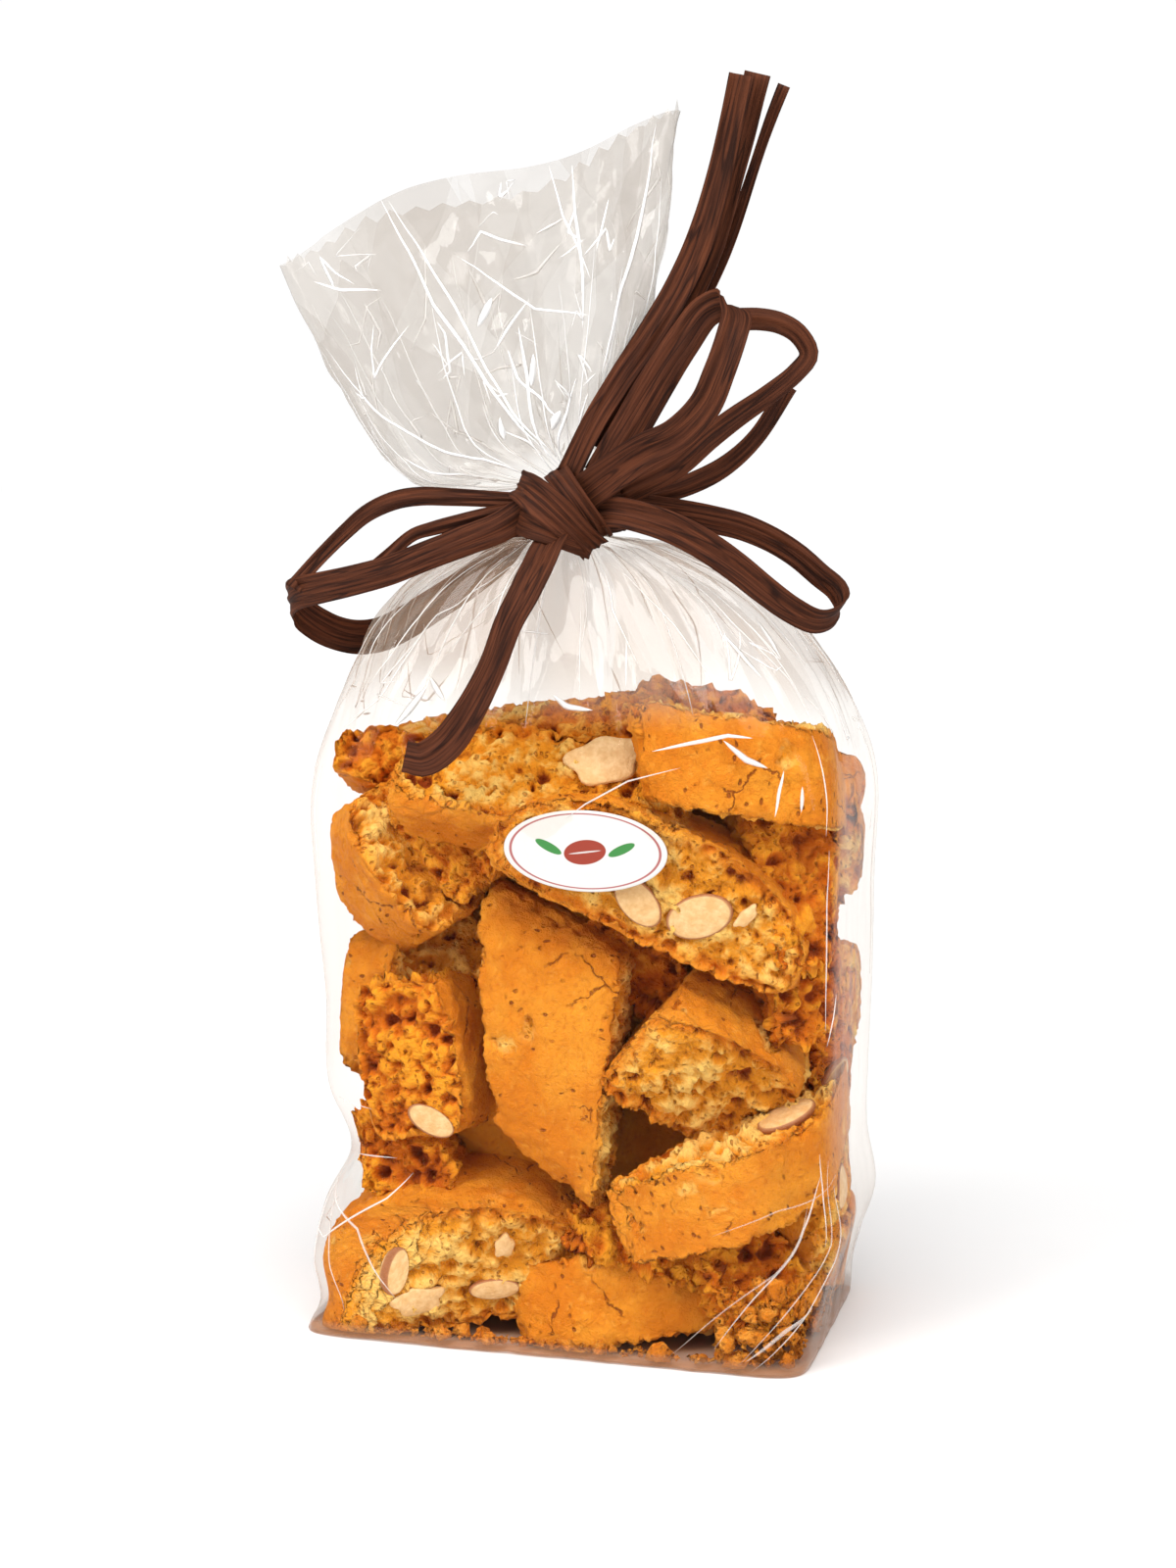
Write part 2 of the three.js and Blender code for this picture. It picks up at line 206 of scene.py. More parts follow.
# The biscotti: slices of a baked almond log, flat below and domed above, cut across it at a
# slant. The crust is smooth, the two cut faces are open, craggy crumb. They lie loose in the
# bag. The back and the left side hold the slices of the front and the right turned half round.
BISCOTTI = {
    # group: one row a slice, of (middle, direction of the length, way that its first cut face
    # looks, (length, height, thickness), slant, taper, height of each end, crag, broken). It is
    # broken at its -1 or its 1 end, whole at 0, and a lump of bare crumb at 2.
    "front_top": (
        ((19, -21, 101), (0.9, 0.15, -0.4), (0.15, -1, -0.05), (69, 25, 19), 0.15, 0, (0.35, 0.4), 0.9, 0),
        ((-6, -20, 116.5), (1, 0.15, -0.1), (0.15, -0.8, 0.6), (62, 22, 17), 0.2, 0, (0.3, 0.4), 1.1, 0),
        ((37, -22, 124), (-0.95, -0.3, 0.15), (0.1, 0.15, 1), (46, 16, 20), -0.3, 0, (0.6, 0.6), 1, 0),
        ((-35, -9, 117), (0.95, 0, -0.3), (0.1, -0.9, 0.4), (44, 14, 16), 0, 0, (0.3, 0.4), 1.4, -1),
        ((-27, -16, 106), (0.65, -0.05, -0.75), (0.1, -1, 0.15), (26, 16, 16), 0, 0, (0.6, 0.6), 1.4, 1),
    ),
    "front_middle": (
        ((-4, -21, 64), (0, -0.15, -1), (-1, 0, 0), (54, 20, 27), 0.5, -0.2, (0.6, 0.6), 0.8, 0),
        ((31, -9, 61), (0.7, 0.55, -0.5), (0.2, -0.88, -0.42), (41, 27, 30), 0.5, 0, (0.9, 0.5), 1.0, 1),
        ((-40, -18, 99), (0.6, -0.1, -0.8), (-0.6, 0.65, -0.35), (33, 20, 20), 0.1, 0, (0.7, 0.7), 1.1, 0),
        ((-44, -13, 69), (0.15, -0.2, -0.95), (-0.95, 0.25, -0.2), (30, 20, 18), 0, 0, (0.6, 0.6), 1, -1),
        ((-32, -21, 60), (0.15, -0.1, -1), (-0.15, -1, 0.1), (33, 23, 19), 0, 0, (0.8, 0.8), 1.5, -1),
    ),
    "front_low": (
        ((-27, -20, 19), (0.95, 0.3, 0.15), (0.22, -0.93, -0.25), (66, 29, 22), 0.45, 0, (0.3, 0.5), 0.8, 1),
        ((12, -18, 10), (-0.95, -0.3, -0.2), (-0.1, 0.35, 0.95), (50, 14, 21), 0, 0, (0.6, 0.4), 1, 0),
        ((39, -20, 40), (-0.7, -0.6, -0.35), (-0.25, -0.3, 0.9), (62, 20, 18), 0, 0, (0.35, 0.35), 1.1, 0),
        ((35, -16, 16), (0.55, -0.1, -0.85), (0.5, -0.75, 0.45), (26, 20, 16), 0.2, 0, (0.6, 0.6), 1.5, 2),
        ((-36, -18, 36), (0.5, -0.1, -0.85), (0, -1, 0.15), (32, 19, 17), 0, 0, (0.6, 0.6), 1.5, 2),
        ((13, -14, 20), (0.95, 0.1, -0.25), (0.25, -0.8, 0.55), (34, 16, 16), 0, 0, (0.6, 0.6), 1.5, 2),
    ),
    "right_side": (
        ((46, 4, 62), (0.2, 0.1, 1), (0.9, -0.45, -0.1), (36, 19, 18), 0, 0, (0.6, 0.6), 1.4, 2),
        ((44, -12, 99), (0.25, -0.2, -0.95), (0.5, -0.85, 0.2), (38, 20, 18), 0, 0, (0.6, 0.6), 1.5, 2),
        ((45, -9, 77), (0.15, -0.2, -0.95), (0.6, -0.8, 0.2), (26, 20, 16), 0, 0, (0.6, 0.6), 1.5, 2),
        ((47, -6, 33), (0.3, 0.1, 0.95), (0.95, -0.2, -0.25), (30, 18, 16), 0, 0, (0.6, 0.6), 1.2, -1),
        ((10, -8, 78), (0.8, 0, -0.6), (0.2, -0.95, 0.3), (28, 16, 16), 0, 0, (0.6, 0.6), 1.4, 2),
        ((-32, -7, 78), (0.85, 0, -0.55), (0.25, -0.9, 0.35), (28, 18, 16), 0, 0, (0.6, 0.6), 1.2, 1),
        ((12, 3, 36), (0.55, 0.2, 0.8), (0.8, -0.2, -0.55), (44, 18, 20), 0, 0, (0.6, 0.6), 1, 0),
        ((20, 2, 129), (1, 0.15, -0.15), (0.2, -0.9, 0.35), (38, 15, 17), 0, 0, (0.5, 0.5), 1.5, 2),
        ((3, -4, 125), (1, 0.15, 0.1), (0.15, -0.85, 0.5), (46, 16, 17), 0, 0, (0.3, 0.3), 1.3, 1),
    ),
    "middle": (
        ((-28, 2, 22), (1, 0.2, 0.3), (0.2, -0.5, -0.8), (60, 22, 20), 0.3, 0, (0.4, 0.4), 1, 0),
        ((20, 6, 14), (0.9, -0.4, 0.1), (0, -0.2, 1), (62, 20, 20), 0.3, 0, (0.4, 0.4), 1, 0),
        ((-26, 4, 52), (0.9, 0.3, 0.4), (0, -0.8, -0.5), (58, 22, 20), 0.3, 0, (0.4, 0.4), 1, 0),
        ((28, 4, 56), (0.6, -0.3, 0.8), (0.5, -0.8, 0), (56, 22, 20), 0.3, 0, (0.4, 0.4), 1, 0),
        ((-8, 2, 84), (0.9, 0.1, 0.4), (0.1, -0.9, 0.3), (64, 22, 20), 0.3, 0, (0.4, 0.4), 1, 0),
        ((30, 4, 92), (0.8, -0.2, -0.5), (0.3, -0.8, 0.4), (56, 22, 20), 0.3, 0, (0.4, 0.4), 1, 0),
        ((-30, 4, 106), (0.9, 0.2, 0.3), (0, -0.9, -0.3), (50, 20, 20), 0.3, 0, (0.4, 0.4), 1, 0),
        ((6, 4, 112), (1, 0.2, 0), (0.1, -0.5, 0.8), (66, 20, 22), 0.3, 0, (0.4, 0.4), 1, 0),
    ),
}
FINE, FAIR, PLAIN = (0.45, 0.45), (0.6, 0.5), (1.0, 1.0)  # step in mm, share of triangles kept
DOME_POWER, DOME_FALL = 2.6, 0.7
SETTLE = 0.35  # how far the back lies lower than the front, for each mm above SETTLE_FROM
SETTLE_FROM = 100
ROOM = 1.2  # between a slice and the film
RELIEF = {"Wave": 1.2, "Lump": 2.3, "Pit": 1.5, "Chip": 2.0}  # in millimetres

# The outline of the bag, level by level, which keeps the slices in.
BAG_WIDTH, BAG_DEPTH = 108, 67
SECTIONS = np.array((
    # height, share of the width, share of the depth, shift across, squareness
    (0, 1.01, 0.97, -3.2, 12), (5, 0.99, 1, -1.8, 10), (16, 1.03, 1, -1.6, 8), (27, 1.04, 0.99, 1.0, 7),
    (39.5, 0.975, 0.98, 3.0, 6), (53, 1.01, 0.99, 0.8, 7), (73, 1.005, 1, 1.1, 9), (95, 1.02, 1, 0.4, 10),
    (122, 1.02, 1, 0, 8), (133, 0.965, 0.93, -0.3, 5), (143, 0.89, 0.81, -1.5, 3.6),
    (152, 0.79, 0.66, -2.8, 2.8), (160, 0.62, 0.49, -3.8, 2.3), (166, 0.36, 0.33, -5, 2)))


def through(at, knots, x):
    """Values at x of the smooth curve that passes through the knots."""
    at, knots = np.asarray(at, float), np.asarray(knots, float)
    slope = np.gradient(knots, at, axis=0)
    i = np.clip(np.searchsorted(at, x, side="right") - 1, 0, len(at) - 2)
    span = (at[i + 1] - at[i])[:, None]
    f = (x - at[i])[:, None] / span
    return ((2 * f**3 - 3 * f**2 + 1) * knots[i] + (f**3 - 2 * f**2 + f) * span * slope[i]
            + (3 * f**2 - 2 * f**3) * knots[i + 1] + (f**3 - f**2) * span * slope[i + 1])


def kept_inside(points, room):
    """Points in millimetres, drawn in until they clear the film by room."""
    wide, deep, shift, square = through(SECTIONS[:, 0], SECTIONS[:, 1:], np.clip(points[:, 2], 0, 160)).T
    x = (points[:, 0] - shift) / (BAG_WIDTH / 2 * wide - room)
    y = points[:, 1] / (BAG_DEPTH / 2 * deep - room)
    reach = (np.abs(x) ** square + np.abs(y) ** square) ** (1 / square)
    excess = np.maximum(reach - 0.96, 0)
    eased = 0.96 + 0.04 * (1 - np.exp(-excess / 0.04))
    scale = np.where(reach > 0.96, eased / np.maximum(reach, 1e-6), 1)
    inside = points.copy()
    inside[:, 0] = shift + (points[:, 0] - shift) * scale
    inside[:, 1] *= scale
    inside[:, 2] = np.maximum(points[:, 2], 0.8 + 0.05 * np.minimum(points[:, 2], 0))
    return inside


def skin_of_block(nx, ny, nz):
    """The lattice points on a block's skin, and the quads that join them, facing outwards."""
    keep = np.ones((nx + 1, ny + 1, nz + 1), bool)
    keep[1:-1, 1:-1, 1:-1] = False
    index = np.full(keep.shape, -1)
    index[keep] = np.arange(keep.sum())
    quads = []
    for axis in (0, 1, 2):
        for end in (0, -1):
            side = np.take(index, end, axis=axis)
            quad = np.stack([side[:-1, :-1], side[1:, :-1], side[1:, 1:], side[:-1, 1:]], -1).reshape(-1, 4)
            quads.append(quad[:, ::-1] if (end == 0) == (axis != 1) else quad)
    return np.argwhere(keep) / (nx, ny, nz), np.concatenate(quads)


def axes_of(long, face):
    """The length, the way to the back cut face, and the way up through the dome."""
    long = np.array(long, float) / np.linalg.norm(long)
    face = np.array(face, float)
    face -= long * (face @ long)
    face /= np.linalg.norm(face)
    return np.stack([long, -face, np.cross(face, long)], 1)


def ease(x, low, high):
    x = np.clip((x - low) / (high - low), 0, 1)
    return x * x * (3 - 2 * x)


def slice_points(x, y, z, size, slant, taper, ends):
    """Points of one slice in its own axes: x and y run from -1 to 1, z from 0 to 1."""
    length, height, thick = size
    end = ends[0] + (ends[1] - ends[0]) * (x + 1) / 2
    top = end + (1 - end) * (1 - np.abs(x) ** DOME_POWER) ** DOME_FALL
    low = 0.12 * np.abs(x) ** 8
    rounded = 1 - 0.1 * np.abs(x) ** 8
    return np.stack([x * length / 2 + slant * y * thick / 2, y * thick / 2 * rounded * (1 + taper * x),
                     height * (low + (top - low) * z - 0.5)], -1)


def biscotto(row, step, seed):
    """One slice: its points in the bag, its quads, and for each point the grain that its
    texture follows, how far it is open crumb, how craggy it is, and how near an edge."""
    middle, long, face, size, slant, taper, ends, crag, broken = row
    length, height, thick = size
    counts = [max(6, round(side / step)) for side in (length, thick / 1.2, height)]
    share, quads = skin_of_block(*counts)
    x, y, z = share[:, 0] * 2 - 1, share[:, 1] * 2 - 1, share[:, 2]
    x = 0.6 * x + 0.4 * np.sin(x * math.pi / 2)
    own = slice_points(x, y, z, size, slant, taper, ends)
    tall = (slice_points(x, y, np.ones_like(z), size, slant, taper, ends)
            - slice_points(x, y, np.zeros_like(z), size, slant, taper, ends))[:, 2]
    up_edge = np.minimum(z, 1 - z) * tall
    end_edge = (1 - np.abs(x)) * length / 2
    cut_edge = (1 - np.abs(y)) * thick / 2
    crumb = np.where(np.abs(y) > 0.999, ease(np.minimum(up_edge, end_edge), 0.1, 1.1), 0)
    open_end = (np.abs(x) > 0.999) & ((broken == 2) | (np.sign(x) == broken))
    crumb = np.maximum(crumb, np.where(open_end, ease(np.minimum(up_edge, cut_edge), 0.1, 1.1), 0))
    if broken == 2:
        crumb = np.maximum(crumb, 0.92)
    middle_of_edges = np.sort(np.stack([up_edge, end_edge, cut_edge]), 0)[1]
    turn = axes_of(long, face)
    place = own @ turn.T + middle
    grain = own + np.random.default_rng(seed).uniform(100, 900, 3)
    return place, quads, grain, crumb, np.full(len(own), crag), middle_of_edges


def mesh_of(name, points, quads, **layers):
    """A mesh from arrays in millimetres, smooth, with float or vector values on its points."""
    mesh = bpy.data.meshes.new(name)
    mesh.from_pydata(points * MM, [], quads.tolist())
    mesh.shade_smooth()
    for layer, values in layers.items():
        kind = "FLOAT" if values.ndim == 1 else "FLOAT_VECTOR"
        held = mesh.attributes.new(layer, kind, "POINT")
        held.data.foreach_set("value" if kind == "FLOAT" else "vector", values.astype(np.float32).ravel())
    return mesh


def joined(parts):
    """Several (points, quads, layer, layer...) tuples as one."""
    starts = np.cumsum([0] + [len(p[0]) for p in parts])
    quads = np.concatenate([p[1] + n for p, n in zip(parts, starts)])
    return [np.concatenate([p[0] for p in parts]), quads] + [
        np.concatenate([p[k] for p in parts]) for k in range(2, len(parts[0]))]


def new_shaper(name, numbers):
    """A geometry node tree with one number for each named input, and the wires it starts from."""
    tree = bpy.data.node_groups.new(name, "GeometryNodeTree")
    tree.interface.new_socket("Geometry", in_out="INPUT", socket_type="NodeSocketGeometry")
    for label in numbers:
        tree.interface.new_socket(label, in_out="INPUT", socket_type="NodeSocketFloat")
    tree.interface.new_socket("Geometry", in_out="OUTPUT", socket_type="NodeSocketGeometry")
    entry = tree.nodes.new("NodeGroupInput")
    return tree, Wire(tree), {s.name: Wire(tree, s) for s in entry.outputs if s.name}


def layer_of(start, name, kind="FLOAT"):
    return start.add("GeometryNodeInputNamedAttribute", {"data_type": kind}, {"Name": name})


def moved(start, shape, offset):
    return start.add("GeometryNodeSetPosition", {}, {"Geometry": shape, "Offset": offset})


def holding(start, shape, name, value, kind="FLOAT"):
    """The shape with a value on its points that its finish reads."""
    return start.add("GeometryNodeStoreNamedAttribute", {"data_type": kind, "domain": "POINT"},
                     {"Geometry": shape, "Name": name, "Value": value})


def close_shaper(start, shape, finish):
    shape = start.add("GeometryNodeRealizeInstances", {}, {"Geometry": shape})
    start.add("NodeGroupOutput", {}, {"Geometry": start.add("GeometryNodeSetMaterial", {}, {
        "Geometry": shape, "Material": finish})})


def put_in(name, mesh):
    """A finished mesh as an object of the scene, at the origin."""
    piece = bpy.data.objects.new(name, mesh)
    bpy.context.scene.collection.objects.link(piece)
    return piece


def shaped(name, mesh, tree, numbers, thin=1.0):
    """The mesh after the node tree has worked on it, as a plain object at the origin. Thin is
    the share of its triangles that is kept."""
    blank = put_in(name + "_blank", mesh)
    modifier = blank.modifiers.new("shape", "NODES")
    modifier.node_group = tree
    for socket in tree.interface.items_tree:
        if socket.in_out == "INPUT" and socket.name in numbers:
            modifier[socket.identifier] = numbers[socket.name]
    if thin < 1:
        blank.modifiers.new("thin", "DECIMATE").ratio = thin
    solved = blank.evaluated_get(bpy.context.evaluated_depsgraph_get())
    made = bpy.data.meshes.new_from_object(solved)
    made.name = name
    bpy.data.objects.remove(blank)
    bpy.data.meshes.remove(mesh)
    return put_in(name, made)


def draw_in(piece, room):
    """Moves the points of a piece until they clear the film and the table."""
    place = np.empty(len(piece.data.vertices) * 3, np.float32)
    piece.data.vertices.foreach_get("co", place)
    place = kept_inside(place.reshape(-1, 3) / MM, room) * MM
    piece.data.vertices.foreach_set("co", place.astype(np.float32).ravel())
    piece.data.update()


BROWN, GOLDEN, TOASTED = (0.70, 0.200, 0.003), (0.82, 0.300, 0.016), (0.58, 0.135, 0.001)
FRECKLE, BLOND, CRACK_SHADE = (0.50, 0.10, 0.001), (0.86, 0.38, 0.045), (0.30, 0.055, 0.001)
PALE_CRUMB = (0.82, 0.30, 0.012), (0.95, 0.57, 0.140)  # in its hollows, darker as painted shade, and on its crags, lighter as painted light
RICH_CRUMB = (0.66, 0.150, 0.001), (0.90, 0.34, 0.014)
HOLLOW_SHADE, PORE_SHADE = (0.30, 0.045, 0.001), (0.56, 0.14, 0.003)

crust_finish, start = new_finish("baked_biscuit")
rest = start.carried("grain", out=1)
crumb, depth, crag, edge = (start.carried(key) for key in ("crumb", "depth", "crag", "edge"))
jagged = rest.push(rest.noise(0.5, 4, 0.6, out=1), 3.0)
tone = rest.noise(0.09, 4, 0.6)
speck = rest.noise(0.9, 4, 0.65)
crust = tone.ease(0.35, 0.68).blend(BROWN, GOLDEN)
crust = (speck.ease(0.50, 0.70) * 0.6).blend(crust, TOASTED)
crust = (rest.noise(2.2, 3, 0.7).ease(0.56, 0.72) * 0.4).blend(crust, FRECKLE)
crust = (rest.noise(0.5, 4, 0.7).ease(0.55, 0.70) * 0.55).blend(crust, BLOND)
holes = rest.spread(1, 0.6, 1).cells(0.50).ease(0.21, 0.10) * rest.noise(0.13, 2).ease(0.46, 0.58)
wells = rest.spread(0.6, 1, 1).cells(0.15).ease(0.11, 0.06) * rest.noise(0.2, 1).ease(0.45, 0.55)
gap = jagged.cells(0.050, "DISTANCE_TO_EDGE").ease(0.013, 0.003) * rest.noise(0.05, 2).ease(0.55, 0.61)
gap = gap * rest.noise(0.45, 2).ease(0.36, 0.52)
marks = holes.maths("MAXIMUM", holes, wells)
marks = marks.maths("MAXIMUM", marks, gap)
# Painted shade: the crust is darkened in its holes, wells and cracks.
crust = (marks * 0.85).blend(crust, CRACK_SHADE)
orange = crag.ease(1.05, 1.45)
orange = orange.maths("MAXIMUM", orange, edge.ease(4.5, 1.0) * 0.85)
# Painted light and shade: the crumb is lighter the higher it stands and darker the deeper it lies, with
# random tone mixed in.
high = depth + (speck - 0.5) * 2.2 + (tone - 0.5) * 2.0
pale = high.ease(-1.3, 0.4).blend(*PALE_CRUMB)
rich = high.ease(-1.5, 0.7).blend(*RICH_CRUMB)
inside = orange.blend(pale, rich)
# Painted shade: the deepest hollows of the crumb turn dark.
inside = high.ease(-1.5, -3.2).blend(inside, HOLLOW_SHADE)
# Painted shade: the crumb's pores are darkened.
pore = rest.cells(0.85).ease(0.34, 0.16) * rest.noise(0.4, 1).ease(0.42, 0.56)
inside = (pore * 0.6).blend(inside, PORE_SHADE)
height = (rest.noise(0.6, 5, 0.7) * 1.1 + rest.noise(2.6, 3, 0.6) * 0.4 - marks * 0.9 * (1 - crumb)
          - pore * crumb * 1.1 - rest.cells(1.3) * crumb * 0.5)
close_finish(start, usual_shader(
    start, Base_Color=crumb.blend(crust, inside), Roughness=0.6 + 0.2 * crumb, Specular_IOR_Level=0.22,
    Normal=height.bump(1.1 * MM)))

crag_tree, start, given = new_shaper("biscuit_relief", ("Wave", "Lump", "Pit", "Chip"))
rest = layer_of(start, "grain", "FLOAT_VECTOR")
crumb, crag, edge = (layer_of(start, key) for key in ("crumb", "crag", "edge"))
bent = rest.push(rest.noise(0.25, 2, out=1), 2.5)
flake = rest.noise(0.07, 3).ease(0.62, 0.65)
crumb = crumb.maths("MAXIMUM", crumb, flake * 0.9)
wave = (rest.noise(0.06, 2) - 0.5) * given["Wave"]
wells = rest.spread(0.6, 1, 1).cells(0.15).ease(0.13, 0.05) * rest.noise(0.2, 1).ease(0.45, 0.55)
crust = wave + (rest.noise(0.4, 4, 0.65) - 0.5) * 1.2 - flake * 0.8 - wells * 0.7
lumps = (0.5 - bent.cells(0.30)) * given["Lump"] + (0.5 - rest.cells(0.72)) * 0.7
pits = bent.cells(0.21).ease(0.38, 0.25) * rest.noise(0.15, 1).ease(0.36, 0.46) * given["Pit"]
pits = pits + rest.cells(0.42).ease(0.36, 0.22) * rest.noise(0.2, 1).ease(0.38, 0.48) * given["Pit"] * 0.5
fine = (rest.noise(0.35, 5, 0.72) - 0.5) * 4.2
inside = ((rest.noise(0.10, 2) - 0.52) * 5 + lumps + fine - pits - 0.5) * crag
chips = rest.noise(0.16, 3).ease(0.52, 0.66) * edge.ease(3.0, 0.0) * given["Chip"]
chips = chips + rest.noise(0.55, 2).ease(0.48, 0.62) * edge.ease(1.4, 0.2) * 0.9
depth = crumb * inside
rise = (depth + (1 - crumb) * crust - chips) * MM
shift = rest.noise(0.25, 4, 0.6, out=1).centred().scaled(3 * MM)
offset = start.add("GeometryNodeInputNormal").scaled(rise).push(shift, 1)
shape = given["Geometry"]
for layer, value in (("depth", depth), ("crumb", crumb)):
    shape = holding(start, shape, layer, value)
close_shaper(start, moved(start, shape, offset), crust_finish)


def other_side(group):
    """The name of the group that lies opposite this one."""
    return group.replace("front", "back").replace("right", "left")


for group in ("front_top", "front_middle", "front_low", "right_side"):
    BISCOTTI[other_side(group)] = tuple(
        ((-x, -y, z - SETTLE * max(0, z - SETTLE_FROM)), (-long[0], -long[1], long[2]),
         (-face[0], -face[1], face[2]), *rest)
        for (x, y, z), long, face, *rest in BISCOTTI[group])
for number, (group, rows) in enumerate(BISCOTTI.items()):
    step, thin = FINE if "front" in group else PLAIN if group == "middle" else FAIR
    parts = [biscotto(row, step, 100 * number + k) for k, row in enumerate(rows)]
    points, quads, grain, crumb, crag, edge = joined(parts)
    mesh = mesh_of(group, points, quads, grain=grain, crumb=crumb, crag=crag, edge=edge)
    piece = shaped("biscotti_" + group, mesh, crag_tree, RELIEF, thin)
    draw_in(piece, ROOM)
    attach(piece, "root")
    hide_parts("bag")

# Whole almonds were baked into the log, so the knife left them as smooth ovals in the cut
# face: a cream kernel in a thin brown skin, with here and there a bare broken piece.
ALMONDS = (
    # slice it lies in (group, row), along, up, half length, half width, turn, skin
    ("front_top", 0, -1.0, -5.0, 6.0, 3.6, -30, 1),
    ("front_top", 0, 11.5, -2.5, 6.6, 4.6, 38, 1),
    ("front_top", 0, 20.0, 1.5, 2.8, 1.4, 70, 0),
    ("front_low", 0, -11.0, 1.5, 5.6, 4.0, -68, 1),
    ("front_low", 0, -4.0, -6.5, 5.8, 3.0, 8, 0),
    ("front_low", 0, 12.5, -6.5, 5.6, 2.3, -6, 1),
    ("front_low", 0, 16.0, 3.5, 2.6, 2.0, 60, 0),
    ("front_top", 1, 13.5, 5.0, 7.6, 5.4, 18, 0),
    ("front_low", 2, -9.0, 2.0, 6.4, 4.4, 0, 1),
    ("front_middle", 4, 13.0, 3.0, 5.0, 3.0, 60, 1),
    ("right_side", 3, 3.0, 0.0, 5.4, 3.4, 25, 1),
    ("right_side", 0, -6.0, 1.0, 6.0, 3.8, -50, 1),
)
ALMOND_RINGS = (0, 0.3, 0.6, 0.8, 0.9, 0.95, 1.0, 1.02, 0.96, 0.8)  # share of its half size
ALMOND_RISE = (0.7, 0.68, 0.6, 0.5, 0.42, 0.36, 0.2, -0.3, -1.0, -1.6)  # out of the cut face
ALMOND_POINTS = 40  # round each ring

KERNEL, NUT_SKIN = ((0.66, 0.38, 0.145), (0.78, 0.52, 0.25)), (0.34, 0.12, 0.04)

nut_finish, start = new_finish("cut_almond")
rest = start.carried("grain", out=1)
skin = start.carried("skin")
vein = rest.noise(0.5, 4, 0.6)
kernel = vein.ease(0.35, 0.7).blend(*KERNEL)
close_finish(start, usual_shader(
    start, Base_Color=skin.blend(kernel, NUT_SKIN), Roughness=0.42, Specular_IOR_Level=0.4,
    Normal=rest.noise(1.6, 4).bump(0.3 * MM)))


def rings_skin(rows, around, closed=True):
    """Quads between rows of points, each row closed into a ring or left open."""
    index = np.arange(rows * around).reshape(rows, around)
    if closed:
        index = np.concatenate([index, index[:, :1]], 1)
    return np.stack([index[:-1, :-1], index[:-1, 1:], index[1:, 1:], index[1:, :-1]], -1).reshape(-1, 4)


parts = []
both_sides = ALMONDS + tuple((other_side(group), *rest) for group, *rest in ALMONDS)
for number, (group, row, along, up, half_long, half_wide, spin, skin) in enumerate(both_sides):
    middle, long, face, size, slant, taper, ends, crag, broken = BISCOTTI[group][row]
    turn = axes_of(long, face)
    angle = np.linspace(0, 2 * math.pi, ALMOND_POINTS, endpoint=False)
    uneven = (0.10 * np.sin(5 * angle) + 0.08 * np.sin(3 * angle)) * (1 - skin)
    rim = 1 + 0.04 * np.sin(2 * angle + number) + uneven
    rings = np.array(ALMOND_RINGS)[:, None]
    a, b = half_long * rings * rim * np.cos(angle), half_wide * rings * rim * np.sin(angle)
    spin = math.radians(spin)
    u, v = a * math.cos(spin) - b * math.sin(spin), a * math.sin(spin) + b * math.cos(spin)
    out = np.array(ALMOND_RISE)[:, None] + 0 * u
    own = np.stack([u + along - slant * size[2] / 2, -size[2] / 2 - out, v + up], -1).reshape(-1, 3)
    coat = np.broadcast_to(ease(rings, 0.90, 0.97) * skin, u.shape).ravel()
    quads = rings_skin(len(ALMOND_RINGS), ALMOND_POINTS)[:, ::-1]
    parts.append((own @ turn.T + middle, quads, own + 50 * number, coat))
points, quads, grain, coat = joined(parts)
mesh = mesh_of("almonds", kept_inside(points, 1.0), quads, grain=grain, skin=coat)
mesh.materials.append(nut_finish)
almonds = put_in("almonds", mesh)
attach(almonds, "root")
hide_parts("bag")
